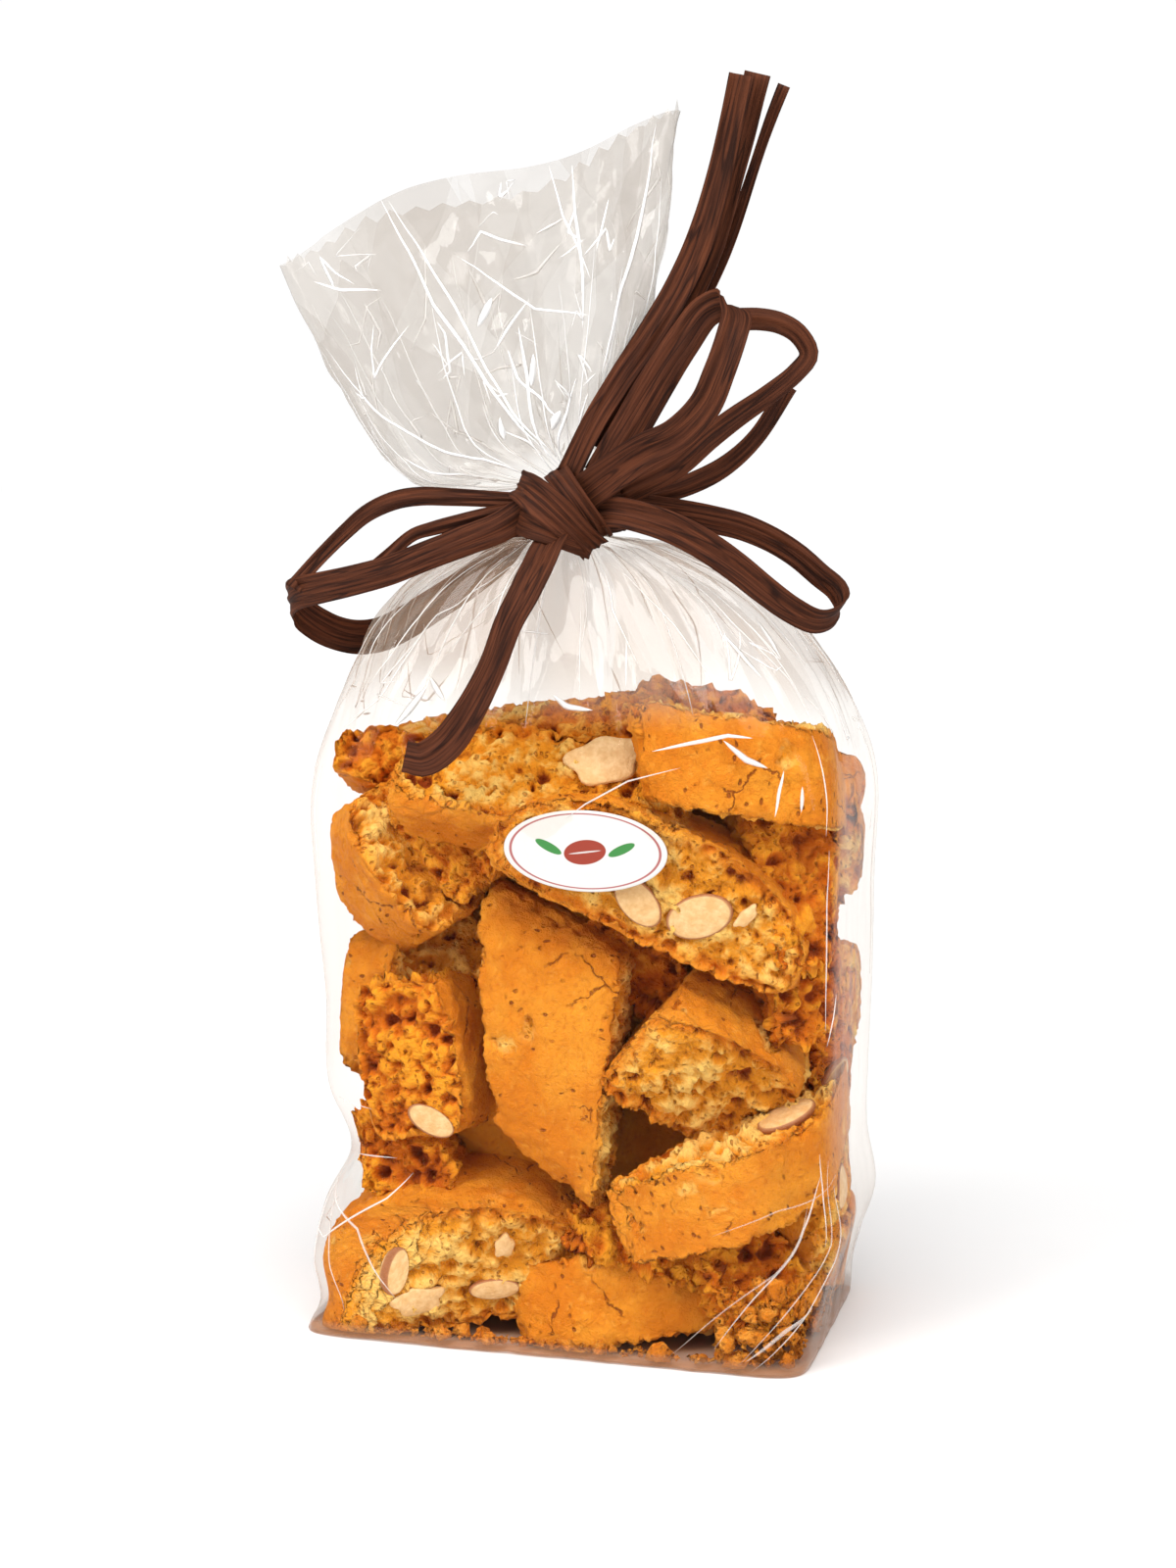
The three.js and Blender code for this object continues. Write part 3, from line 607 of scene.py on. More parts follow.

# The bag: clear crinkly film with a block bottom, gathered into the neck and fanned out above
# the tie. The folds pressed into it stand as thin ridges, painted white partly as whitened film and partly
# as painted highlight, most where nothing fills it.
NECK_X, NECK_RADIUS = -5.5, 7.5
FAN_LEFT = ((-14, 178.4), (-28, 178.2), (-40.5, 179.4), (-51.5, 191), (-62.5, 210), (-70.5, 224.3))
FAN_RIGHT = ((2.4, 179.4), (2.2, 185), (3, 194), (8, 209), (13, 230), (16, 255))
FAN_DEPTH = 12
AROUND = 360  # points round the film, one for each degree
FAN_FOOT, FAN_EDGE = 200, 300  # levels of the fan; on the body a level is a height in mm
FAN_ROWS = 76
TOOTH = 2.2  # height of the teeth that the cutter left on the back edge of the fan
RIDGES = (
    # width, strength of the painted white, ((degrees round, level), ...); the front of the bag is at -90
    # degrees
    (0.4, 0.5, ((-41, 109), (-41, 91), (-40, 72))), (0.4, 0.5, ((-40, 46), (-39, 39), (-41, 27))),
    (0.4, 0.5, ((-39, 131), (-42, 112))), (0.4, 0.5, ((-88, 114), (-84, 117), (-75, 122), (-65, 125))),
    (0.9, 0.8, ((-70, 128), (-62, 130), (-56, 131.5), (-52, 131))),
    (1.3, 0.7, ((-57, 130.5), (-54, 127), (-51, 125.5))),
    (0.7, 0.8, ((-48.5, 125), (-50, 121), (-51, 116))), (0.8, 0.6, ((-46, 122), (-47, 117))),
    (0.5, 0.5, ((-136, 122), (-136, 98))), (0.8, 0.5, ((-142, 34), (-139, 16), (-141, 8))),
    (0.6, 0.4, ((-142, 33), (-129, 24), (-122, 10))), (0.4, 0.4, ((-137, 30), (-134, 20), (-131, 6))),
    (0.5, 0.4, ((-39, 42), (-46, 31), (-57, 5))), (0.5, 0.4, ((-33, 38), (-34, 23), (-51, 1))),
    (0.4, 0.35, ((-36, 44), (-39, 27), (-53, 2))), (0.4, 0.3, ((-44, 36), (-50, 22), (-64, 3))),
    (0.3, 0.3, ((-61, 29), (-50, 35), (-30, 40))), (0.9, 0.35, ((-52, 3), (-46, 10), (-40, 14))),
    (0.5, 0.5, ((-107, 166), (-124, 152), (-129, 136), (-135, 130))),
    (0.4, 0.5, ((-83, 158), (-85, 137))), (0.4, 0.5, ((-99, 166), (-112, 154), (-118, 144))),
    (0.4, 0.5, ((-68, 164), (-59, 152), (-55, 141))),
    (0.5, 0.5, ((-52, 166), (-42, 160), (-42, 152), (-37, 141), (-37, 132))),
    (1.4, 0.7, ((-120, 141), (-115, 136))), (1.3, 0.7, ((-91, 138), (-88, 136), (-82, 135.5))),
    (1.2, 0.6, ((-48, 150), (-44, 142))), (1.3, 0.6, ((-30, 153), (-34, 145))),
    (1.9, 0.8, ((-124, 131), (-120, 139))),
    (0.9, 1.0, ((-112, 300), (-105, 272), (-90, 239), (-76, 209))),
    (0.7, 1.0, ((-110, 299), (-99, 270), (-87, 236), (-73, 209))),
    (0.7, 1.0, ((-144, 292), (-133, 286), (-121, 281))),
    (0.6, 1.0, ((-128, 274), (-138, 262), (-116, 270))),
    (0.6, 1.0, ((-94, 281), (-72, 261), (-50, 253))), (0.6, 1.0, ((-88, 254), (-74, 264))),
    (0.8, 1.0, ((-83, 253), (-81, 244), (-62, 224))),
    (0.8, 1.0, ((-56, 297), (-56, 283), (-53, 264), (-52, 250))),
    (0.5, 1.0, ((-63, 299), (-60, 283), (-50, 263))), (0.5, 1.0, ((-48, 270), (-43, 283))),
    (0.9, 0.9, ((-22, 298), (-26, 275), (-35, 250), (-37, 232))),
    (0.8, 1.0, ((-80, 212), (-77, 243), (-78, 258))), (0.8, 1.0, ((-70, 211), (-54, 236))),
    (0.6, 1.0, ((-56, 209), (-44, 229))), (1.6, 0.8, ((-76, 240), (-74, 249))),
    (0.7, 0.9, ((-164, 275), (-146, 252), (-113, 226), (-107, 207))),
    (0.7, 0.9, ((-151, 240), (-127, 215))), (2.0, 0.9, ((-92, 262), (-86, 268))),
    (2.2, 0.8, ((-68, 222), (-63, 228))), (1.8, 0.8, ((-96, 228), (-92, 236))),
)


def route_points(knots, count):
    """Equally spaced points of the smooth curve that passes through the knots."""
    knots = np.asarray(knots, float)
    at = np.concatenate([[0], np.cumsum(np.linalg.norm(np.diff(knots, axis=0), axis=1) ** 0.5)])
    dense = through(at, knots, np.linspace(0, at[-1], 600))
    run = np.concatenate([[0], np.cumsum(np.linalg.norm(np.diff(dense, axis=0), axis=1))])
    pick = np.linspace(0, run[-1], count)
    return np.stack([np.interp(pick, run, dense[:, k]) for k in range(dense.shape[1])], 1), run[-1]


angle = np.linspace(0, 2 * math.pi, AROUND, endpoint=False)
c, s = np.cos(angle), np.sin(angle)
rows, levels = [], []


def add_ring(points, grain, loose, level, foot=0.0):
    """One ring of the film: its points, its place on the flat film, its slack, and its foot."""
    rest = [np.broadcast_to(value, (AROUND,)) for value in (loose, foot)]
    rows.append(np.concatenate([points, grain, np.stack(rest, 1)], 1))
    levels.append(level)


def body_ring(height):
    wide, deep, shift, square = through(SECTIONS[:, 0], SECTIONS[:, 1:], np.array([height]))[0]
    reach = (np.abs(c) ** square + np.abs(s) ** square) ** (-1 / square)
    full = (np.abs(c) ** 8 + np.abs(s) ** 8) ** (-1 / 8)
    points = np.stack([shift + BAG_WIDTH / 2 * wide * reach * c, BAG_DEPTH / 2 * deep * reach * s,
                       np.full(AROUND, height)], 1)
    drawn = height if height < 125 else 125 + 0.45 * (height - 125)
    return points, np.stack([BAG_WIDTH / 2 * full * c, BAG_DEPTH / 2 * full * s, np.full(AROUND, drawn)], 1)


for step, share in enumerate((0, 0.2, 0.4, 0.6, 0.75, 0.88, 0.95)):
    points, grain = body_ring(0)
    points = points * (share, share, 1) + (0, 0, 0.4 * (1 - share))
    add_ring(points, grain * (share, share, 1), 0.1, step - 7, 1)
for height in np.concatenate([np.linspace(0, 122, 76), np.linspace(123, 166, 42)]):
    points, grain = body_ring(height)
    loose = 0.1 + 0.9 * float(ease(height, 118, 146)) + 0.12 * (1 - float(ease(height, 15, 45)))
    add_ring(points, grain, loose, height, 1 - float(ease(height, 0.8, 3.6)))
pleat = 0.6 * np.cos(17 * angle) + 0.4 * np.cos(29 * angle + 1)
for height in np.linspace(168, 177.5, 8):
    ring = NECK_RADIUS - 0.4 + 0.5 * pleat
    points = np.stack([NECK_X + ring * c, ring * s, np.full(AROUND, height)], 1)
    grain = np.stack([40 * c, 25 * s, np.full(AROUND, 144 + 0.3 * (height - 166))], 1)
    add_ring(points, grain, 0.2, height)
left, right = (route_points(side, FAN_ROWS)[0] for side in (FAN_LEFT, FAN_RIGHT))
draw = np.random.default_rng(8)
bends = np.append(draw.uniform(-1, 1, 22), 0)
panel = np.interp(angle, np.linspace(0, 2 * math.pi, 23), bends, period=2 * math.pi)
for step, share in enumerate(np.linspace(0, 1, FAN_ROWS)):
    middle, half = (left[step] + right[step]) / 2, (right[step] - left[step]) / 2
    pleated = pleat * min(0.5 + share, 1) * (1 - 0.9 * share)
    deep = NECK_RADIUS + (FAN_DEPTH - NECK_RADIUS) * share + pleated + 2.4 * panel * share
    up = middle[1] + half[1] * c + 4 * share**4 * np.cos(3 * angle - 0.6) * s**2
    if share == 1:
        up = up + TOOTH * np.abs((np.degrees(angle) % 8) / 4 - 1) * (s > 0.2) * (0.4 + np.abs(panel))
    points = np.stack([middle[0] + half[0] * c, deep * s, up], 1)
    add_ring(points, np.stack([36 * c + 300, 14 * s, 60 * share + 0 * c], 1), min(1, 0.15 + 3 * share),
             FAN_FOOT + (FAN_EDGE - FAN_FOOT) * share)
sheet = np.stack(rows)
facing = np.cross(np.roll(sheet[:, :, :3], -1, axis=1) - np.roll(sheet[:, :, :3], 1, axis=1),
                  np.gradient(sheet[:, :, :3], axis=0))
facing[0] = (0, 0, -1)
sheet = np.concatenate([sheet, facing / np.linalg.norm(facing, axis=2)[:, :, None]], 2)


def on_film(turn, level):
    """What the film holds at a number of degrees round and at a level: the point, its place on
    the flat film, its slack, its foot, and the way it faces."""
    row = np.interp(level, levels, np.arange(len(levels)))
    i = np.minimum(row.astype(int), len(levels) - 2)
    turn = turn % 360
    k = turn.astype(int)
    f, g = (row - i)[:, None], (turn - k)[:, None]
    k, after = k % AROUND, (k + 1) % AROUND
    return ((sheet[i, k] * (1 - g) + sheet[i, after] * g) * (1 - f)
            + (sheet[i + 1, k] * (1 - g) + sheet[i + 1, after] * g) * f)


def layers_of(held):
    """The film's place on the flat, slack, foot and facing, from what on_film gives."""
    return held[:, 3:6], held[:, 6], held[:, 7], held[:, 8:]


def ridge(path, width, strength):
    """A pressed fold that stands on the film along a path and fades out at both ends, painted white partly
    as whitened film and partly as highlight.
    """
    path = np.array(path, float)
    knots = np.arange(len(path))
    run = np.linalg.norm(np.diff(on_film(path[:, 0], path[:, 1])[:, :3], axis=0), axis=1).sum()
    at = np.linspace(0, len(path) - 1, max(8, int(run / 0.9)))
    turn, level = np.interp(at, knots, path[:, 0]), np.interp(at, knots, path[:, 1])
    held = on_film(turn, level)
    line = held[:, :3]
    ahead = np.gradient(line, axis=0)
    ahead /= np.linalg.norm(ahead, axis=1)[:, None]
    out = held[:, 8:]
    side = np.cross(ahead, out)
    fade = np.maximum(np.sin(math.pi * np.linspace(0, 1, len(at))) ** 0.7, 0.05)[:, None]
    points = np.stack([line - side * fade * width / 2, line - out * 0.08, line + side * fade * width / 2,
                       line + out * fade * 0.2], 1)
    quads = np.concatenate([rings_skin(len(at), 4), [(3, 2, 1, 0)], [np.arange(4) + 4 * len(at) - 4]])
    held = np.repeat(held, 4, axis=0)
    return (points.reshape(-1, 3), quads, *layers_of(held), np.full(len(held), strength))


def fold_lines(rest, turn, close, along):
    """The flat film turned and drawn out, so that cells on it are long facets between folds:
    close to the millimetre across the folds, and along to the millimetre the other way."""
    turned = rest.add("ShaderNodeVectorRotate", {"rotation_type": "Y_AXIS"},
                      {"Vector": rest, "Angle": turn})
    turned = turned.push(turned.noise(0.03, 2, out=1), 12)
    return turned.spread(close, close * 0.8, along)


FOLDS = ((0.0, 0.070, 0.011), (0.45, 0.055, 0.014), (-0.6, 0.060, 0.015))  # turn, close, along
CRUMPLE = {"Fold": 3.0, "Crinkle": 1.6, "Ripple": 3.0}  # relief in millimetres, where it is slack

FAN_FACET_SHADES = (0.38, 0.325, 0.275), (0.32, 0.27, 0.225)  # painted shade and reflection of one facet, and of the next
SHOULDER_FACET_SHADES = (0.47, 0.345, 0.255), (0.39, 0.28, 0.20)
FOOT_REFLECTION_SHADE, FOLD_GLINT_WHITE = (0.50, 0.20, 0.06), (0.97, 0.96, 0.95)

film_finish, start = new_finish("clear_film")
rest = start.carried("grain", out=1)
loose, foot, fold = (start.carried(key) for key in ("slack", "foot", "fold"))
facet = None
for turn, close, along in FOLDS:
    flat = start.add("ShaderNodeSeparateColor", {}, {
        "Color": fold_lines(rest, turn, close, along).cells(1.0, out=1)})
    facet = flat if facet is None else facet + flat
facet = (facet / len(FOLDS)).ease(0.22, 0.78)
tilt = start.add("ShaderNodeLayerWeight", {}, {"Blend": 0.5}, out=1)
loose = loose.ease(0.50, 1.0)
fan = loose * rest.add("ShaderNodeSeparateXYZ", {}, {0: rest}).ease(200, 230)
gloss = tilt.maths("POWER", tilt, 6) * 0.4 + 0.004 + loose * 0.02
# Painted shade and reflection: where the film is slack, a veil of lighter and darker facets, and more of it
# where the film is seen edge-on.
painted_cover = loose * (facet * 0.29 + 0.10) + tilt.maths("POWER", tilt, 8) * 0.6
# Painted reflection and shadow: a brown band along the foot of the film.
painted_cover = painted_cover.maths("MAXIMUM", painted_cover, foot * 0.5)
# Partly whitened film, partly painted highlight: the folds cover more of the film and turn white.
painted_cover = painted_cover.maths("MAXIMUM", painted_cover, fold * (0.8 + fan * 0.2))
film_shade = fan.blend(facet.blend(*SHOULDER_FACET_SHADES), facet.blend(*FAN_FACET_SHADES))
film_shade = foot.blend(film_shade, FOOT_REFLECTION_SHADE)
clear = start.add("ShaderNodeBsdfTransparent", {}, {"Color": (0.98, 0.965, 0.945, 1)})
body = usual_shader(start, Base_Color=fold.ease(0.1, 0.5).blend(film_shade, FOLD_GLINT_WHITE), Roughness=0.35)
shine = usual_shader(start, Base_Color=(*FOLD_GLINT_WHITE, 1), Metallic=1.0, Roughness=0.06,
                     Normal=rest.noise(0.16, 3).bump(0.6 * MM, 0.5))
surface = start.add("ShaderNodeMixShader", {}, {0: painted_cover, 1: clear, 2: body})
close_finish(start, start.add("ShaderNodeMixShader", {}, {0: gloss, 1: surface, 2: shine}))

crumple_tree, start, given = new_shaper("film_crumple", ("Fold", "Crinkle", "Ripple"))
rest = layer_of(start, "grain", "FLOAT_VECTOR")
rise = (rest.noise(0.05, 3, 0.6) - 0.4) * given["Ripple"]
for turn, close, along in FOLDS:
    lines = fold_lines(rest, turn, close, along).cells(1.0, "DISTANCE_TO_EDGE")
    rise = rise + (lines.maths("MINIMUM", lines, 0.3) - 0.1) * given["Fold"]
crinkle = rest.push(rest.noise(0.1, 2, out=1), 5).cells(0.08, "DISTANCE_TO_EDGE")
rise = rise + (crinkle.maths("MINIMUM", crinkle, 0.25) - 0.12) * given["Crinkle"]
rise = rise * layer_of(start, "slack") * MM
shape = moved(start, given["Geometry"], layer_of(start, "facing", "FLOAT_VECTOR").scaled(rise))
shape = start.add("GeometryNodeMergeByDistance", {}, {"Geometry": shape, "Distance": 0.000002})
close_shaper(start, shape, film_finish)

paths = list(RIDGES)
for corner in (-138, 42, 138):
    low = draw.uniform(66, 80)
    paths.append((0.4, 0.5, [(corner + draw.uniform(-2, 2), level) for level in np.linspace(126, low, 4)]))
for turn in np.arange(0, 360, 12.0):
    for top, low in ((166, draw.uniform(128, 150)), (203, draw.uniform(225, 290))):
        path = [(turn + draw.uniform(-4, 4), level) for level in (top, (top + low) / 2, low)]
        paths.append((draw.uniform(0.25, 0.5), draw.uniform(0.4, 0.9), path))
for low, high, count, widest in ((128, 154, 30, 0.6), (215, 297, 70, 0.9), (8, 118, 16, 0.5)):
    for _ in range(count):
        turn, level = draw.uniform(0, 360), draw.uniform(low, high)
        if low < 10:
            turn = draw.uniform(-50, 230)
        path = [(turn, level)]
        for _ in range(draw.integers(1, 4)):
            turn, level = turn + draw.uniform(-11, 11), np.clip(level + draw.uniform(-12, 12), low, high)
            path.append((turn, level))
        paths.append((draw.uniform(0.25, widest), draw.uniform(0.4, 0.9), path))
held = sheet.reshape(-1, sheet.shape[2])
parts = [(held[:, :3], rings_skin(len(levels), AROUND), *layers_of(held), np.zeros(len(held)))]
parts += [ridge(path, width, strength) for width, strength, path in paths]
points, quads, grain, loose, foot, facing, fold = joined(parts)
mesh = mesh_of("film", points, quads, grain=grain, slack=loose, foot=foot, facing=facing, fold=fold)
film = shaped("film", mesh, crumple_tree, CRUMPLE)
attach(film, "root")
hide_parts("bag")

# The sticker: an oval of satin white paper, pressed on the film of the front, with a thin
# printed line inside its edge and a small printed almond between two leaves.
STICKER, STICKER_POINTS = (34, 16.6), 96
STICKER_PLACE, STICKER_FRONT = (6, 107.5), -34.2
STICKER_PROFILE = (  # share of the half width, way back from the front face
    (0, 0), (0.3, 0), (0.6, 0), (0.8, 0), (0.94, 0), (0.985, 0.02), (1, 0.1), (1, 0.3), (0.97, 0.38),
    (0, 0.38))

WHITE, WHITER = (0.60, 0.585, 0.56), (0.64, 0.625, 0.60)
RED_LINE, RED_BROWN, GREEN = (0.30, 0.02, 0.02), (0.27, 0.035, 0.018), (0.04, 0.20, 0.045)

paper_finish, start = new_finish("sticker_paper")
place = start.add("ShaderNodeTexCoord", out=3)
x, z = (start.add("ShaderNodeSeparateXYZ", {}, {0: place}, out=k) for k in (0, 2))
x, z = x * 1000 - STICKER_PLACE[0], z * 1000 - STICKER_PLACE[1]


def oval(x, z, half_long, half_high, turn=0.0):
    """Below 1 inside an oval that is turned about its middle, and above 1 outside it."""
    across = (x * math.cos(turn) + z * math.sin(turn)) / half_long
    up = (z * math.cos(turn) - x * math.sin(turn)) / half_high
    return across * across + up * up


rim = oval(x, z, 17, 8.3)
rim = rim.ease(0.80, 0.82) * rim.ease(0.88, 0.86)
nut = oval(x, z + 0.2, 4.4, 2.5, 0.15).ease(1.04, 0.96)
seam = oval(x, z + 0.2, 3.3, 0.18, 0.15).ease(1.2, 0.8)
leaves = (oval(x - 7.6, z - 0.6, 3.0, 0.9, 0.45).ease(1.1, 0.9)
          + oval(x + 7.6, z - 0.6, 3.0, 0.9, -0.45).ease(1.1, 0.9))
paper = place.noise(900, 3).blend(WHITE, WHITER)
paper = (rim * 0.85).blend(paper, RED_LINE)
paper = nut.blend(paper, RED_BROWN)
paper = (seam * 0.8).blend(paper, WHITE)
paper = leaves.blend(paper, GREEN)
close_finish(start, usual_shader(start, Base_Color=paper, Roughness=0.38, Specular_IOR_Level=0.3))
angle = np.linspace(0, 2 * math.pi, STICKER_POINTS, endpoint=False)
points = np.concatenate([np.stack([
    STICKER_PLACE[0] + STICKER[0] / 2 * r * np.cos(angle), STICKER_FRONT + back + 0 * angle,
    STICKER_PLACE[1] + STICKER[1] / 2 * r * np.sin(angle)], 1) for r, back in STICKER_PROFILE])
mesh = mesh_of("sticker", points, rings_skin(len(STICKER_PROFILE), STICKER_POINTS))
mesh.materials.append(paper_finish)
sticker = put_in("sticker", mesh)
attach(sticker, "root")
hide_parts("label")

# The crumbs: grains broken off the slices, that lie along the foot of the film, and heaped
# in the front right-hand corner.
crumb_tree, start, given = new_shaper("loose_crumbs", ("Density", "Smallest", "Largest"))
spots = start.add("GeometryNodeDistributePointsOnFaces", {}, {
    "Mesh": given["Geometry"], "Density": given["Density"], "Seed": 5})
lump = start.add("GeometryNodeMeshIcoSphere", {}, {"Radius": 0.0005, "Subdivisions": 2})
size = start.add("FunctionNodeRandomValue", {"data_type": "FLOAT"}, {2: 0.0, 3: 1.0, "Seed": 2}, out=1)
size = given["Smallest"] + (given["Largest"] - given["Smallest"]) * size.maths("POWER", size, 4)
squash = start.add("FunctionNodeRandomValue", {"data_type": "FLOAT_VECTOR"}, {
    0: (0.6, 0.6, 0.6), 1: (1.3, 1.3, 1.3), "Seed": 3})
roll = start.add("FunctionNodeRandomValue", {"data_type": "FLOAT_VECTOR"}, {
    0: (0, 0, 0), 1: (6.3, 6.3, 6.3), "Seed": 4})
shape = start.add("GeometryNodeInstanceOnPoints", {}, {
    "Points": spots, "Instance": lump, "Rotation": roll,
    "Scale": start.add("ShaderNodeVectorMath", {"operation": "MULTIPLY"}, {0: squash, 1: size})})
shape = start.add("GeometryNodeRealizeInstances", {}, {"Geometry": shape})
rest = start.add("GeometryNodeInputPosition").spread(1000, 1000, 1000)
knobs = rest.noise(0.55, 4, 0.75, out=1).centred().scaled(6 * MM)
shape = moved(start, shape, knobs)
for layer, value in (("depth", rest.noise(0.3, 2) * 3 - 2.4), ("crumb", 1.0), ("crag", 1.3), ("edge", 5.0)):
    shape = holding(start, shape, layer, value)
close_shaper(start, holding(start, shape, "grain", rest, "FLOAT_VECTOR"), crust_finish)

# where they lie: level, share of the way out to the film, and lift
FOOT_STRIP = ((2, 0.965, 0.6), (2, 0.90, -0.6), (2, 0.80, -0.9))
CORNER_HEAP = ((3, 0.96, 0), (9, 0.955, 0), (16, 0.95, 0), (20, 0.94, 0))


def bed(turns, rows, closed):
    """A strip just inside the film, over a run of degrees."""
    points = [on_film(turns, np.full(len(turns), float(level)))[:, :3] * (share, share, 1) + (0, 0, lift)
              for level, share, lift in rows]
    return np.concatenate(points), rings_skin(len(rows), len(turns), closed)


points, quads = joined([bed(np.arange(0, 360, 4.0), FOOT_STRIP, True),
                        bed(np.arange(-56, -32, 3.0), CORNER_HEAP, False)])
crumbs = shaped("crumbs", mesh_of("crumbs", points, quads), crumb_tree,
                {"Density": 280000.0, "Smallest": 0.6, "Largest": 4.6})
crumbs.data.shade_smooth()
draw_in(crumbs, 0.5)
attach(crumbs, "root")
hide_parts("bag")

# The ribbon: flat strips of brown raffia, pleated along their length, wound round the neck,
# knotted in front and tied in a bow. Three cut tails stand up, and one hangs in front.
RAFFIA_THICK = 0.35
PLEAT_POINTS = 17  # across one face of a strip
STRANDS = (
    # name, width, way across at the start and at the end (None: flat to the front), route
    ("left_loop", 6.5, (0, 0, 1), (-0.4, 0, 1), (
        (-10.5, -15, 175), (-16.5, -17, 171), (-24, -17.5, 168), (-32, -17.5, 165), (-41, -16.5, 161.5),
        (-50, -15.5, 159), (-58.5, -13, 157), (-64.5, -9.5, 155.5), (-67.5, -5, 153.5), (-67.5, -1, 151.5),
        (-65, 2, 148.5), (-61.5, 5, 146), (-58, 9, 144.5), (-54.5, 15, 144.5), (-50.5, 20, 146.5),
        (-44.5, 24, 150.5), (-36, 24, 156), (-27.5, 20, 162), (-20.5, 13.5, 168.5), (-14.5, 9, 172.5))),
    ("left_upper_strand", 3.4, (0, 0, 1), (-0.8, 0, 0.6), (
        (-13, -11.5, 176), (-22, -10.5, 176.3), (-30, -9.5, 176.5), (-36.5, -8.5, 176.5), (-43, -7, 175.4),
        (-49.5, -6, 172.5), (-54.5, -5.5, 168.5), (-59.5, -6.5, 163.5), (-63, -9.5, 159), (-64, -12, 157))),
    ("left_split_strand", 3, (0, 0, 1), (-0.6, 0, 0.8), (
        (-13, -13.5, 174.8), (-20, -13.8, 173.2), (-26, -13.5, 171.7), (-33, -12.5, 170),
        (-37.5, -11.5, 168.5), (-42, -13, 164.5), (-45, -15, 161.5))),
    ("right_loop", 6, (0.3, 0, 1), (0.4, 0, 1), (
        (-0.5, -13, 173.5), (6.5, -15, 174.4), (13.5, -16.5, 173.3), (20, -17, 171.3), (26.5, -17, 168),
        (33, -16, 163.5), (38.5, -15, 159), (43.7, -13, 155), (47.8, -9, 152.5), (50.5, -4, 153),
        (51.2, 0, 155), (50, 1.5, 158), (46.5, 1, 161), (42, 0, 165), (37, -1.5, 168.3), (31, -3.5, 171),
        (25, -5.5, 172.5), (18.5, -7.5, 173.7), (9, -9.5, 175))),
    ("upper_loop", 7.6, (-0.9, 0, 0.5), (-0.9, 0, 0.5), (
        (-0.5, -15, 177), (6.6, -16.5, 182), (13.7, -18, 186.5), (21, -19.5, 190), (27, -20.5, 196),
        (30, -20, 203), (31.8, -17.5, 210), (31.5, -13, 214), (28.5, -10, 216), (24.5, -9.5, 214.5),
        (20, -10, 208.5), (14.3, -10.5, 199.7), (8.6, -11, 190), (3, -11.3, 181))),
    ("right_upper_loop", 4.6, None, None, (
        (31, -6, 213), (35, -6, 213), (39.2, -6, 212.2), (42.7, -5, 210), (44.8, -4.5, 206),
        (42.6, -6, 202.5), (37.3, -8, 198), (31, -9.5, 193.5), (25.5, -10, 189.3),
        (18.5, -11, 183.2), (8, -12, 177.5))),
    ("outer_strand", 3.8, None, None, (
        (40.4, -3, 199.7), (34, -3.5, 189.4), (27.8, -4.5, 183.5), (20.7, -6, 179.7), (13, -7.5, 177.3),
        (5.5, -8.5, 176))),
    ("tail_left", 5, (-0.9, 0, 0.4), (-1, 0, 0.2), (
        (-3.5, -12, 181.5), (1.4, -9.5, 192.4), (7, -7, 202), (13, -4.5, 211.6), (18, -2, 221),
        (22, -1, 230.6), (27, -0.3, 249.4), (29.6, -0.3, 261.7))),
    ("tail_middle", 5.6, (-0.9, 0, 0.4), (-1, 0, 0.2), (
        (2.5, -7.5, 186.5), (7.4, -4.8, 197.2), (12.6, -1.5, 206.8), (18, 1.2, 217.2), (22.6, 2.8, 227.5),
        (28.2, 3.5, 246.4), (32.2, 3.2, 262.2))),
    ("tail_right", 2.6, (-0.9, 0, 0.4), (-1, 0, 0.2), (
        (21, 6.5, 218), (24.5, 7, 226), (28.2, 7, 235.6), (33.2, 7, 250.5), (37, 7, 260))),
    ("lower_tail", 7, (1, 0, 0.3), (1, 0, -0.6), (
        (-4.5, -17.5, 170), (-5.4, -22, 167), (-6.2, -27, 163), (-7.5, -31, 158.5), (-9.8, -34.5, 152.5),
        (-12, -37.5, 145), (-16.4, -40, 135.5), (-21, -41, 129), (-25.5, -42, 126), (-29, -43, 126.5))),
)
KNOT_BANDS = (  # as the strands, without a name
    (6.5, (0.6, 0, 0.8), (0.7, 0, 0.6), (
        (-14, -13, 179.5), (-9.5, -18.8, 178.3), (-4, -20.6, 174.5), (0.5, -18.5, 169.8),
        (2.5, -13, 166.5))),
    (5.5, (0.2, 0, 1), (0.3, 0, 1), (
        (-15, -12, 173.5), (-11, -18, 172.3), (-6, -20.4, 170.8), (-1, -18.6, 168.6), (2, -13, 167))),
    (5, (0.8, 0, 0.6), (0.9, 0, 0.3), (
        (-7, -10, 182.2), (-3.5, -17, 181), (0.5, -19.4, 177), (3, -17, 172.5), (3.5, -12, 169))),
)
NECK_WRAPS = ((3.6, 10.3, 171.2), (3.8, 10.9, 173.6), (3.4, 10.4, 175.8))  # width, radius, height

DARK_RAFFIA, RAFFIA = (0.026, 0.0064, 0.0023), (0.108, 0.0300, 0.0115)
WORN_RAFFIA = (0.088, 0.024, 0.009)
FIBRE, CREASE_SHADE = (0.135, 0.040, 0.016), (0.008, 0.0018, 0.0007)

raffia_finish, start = new_finish("brown_raffia")
strip = start.carried("strip", out=1)
streak = strip.spread(1.6, 0.05, 1).noise(1.0, 4, 0.6)
fibre = strip.spread(5, 0.12, 1).noise(1.0, 3, 0.6)
tone = strip.spread(0.2, 0.06, 1).noise(1.0, 2)
brown = streak.ease(0.36, 0.68).blend(DARK_RAFFIA, RAFFIA)
brown = (tone.ease(0.4, 0.7) * 0.5).blend(brown, WORN_RAFFIA)
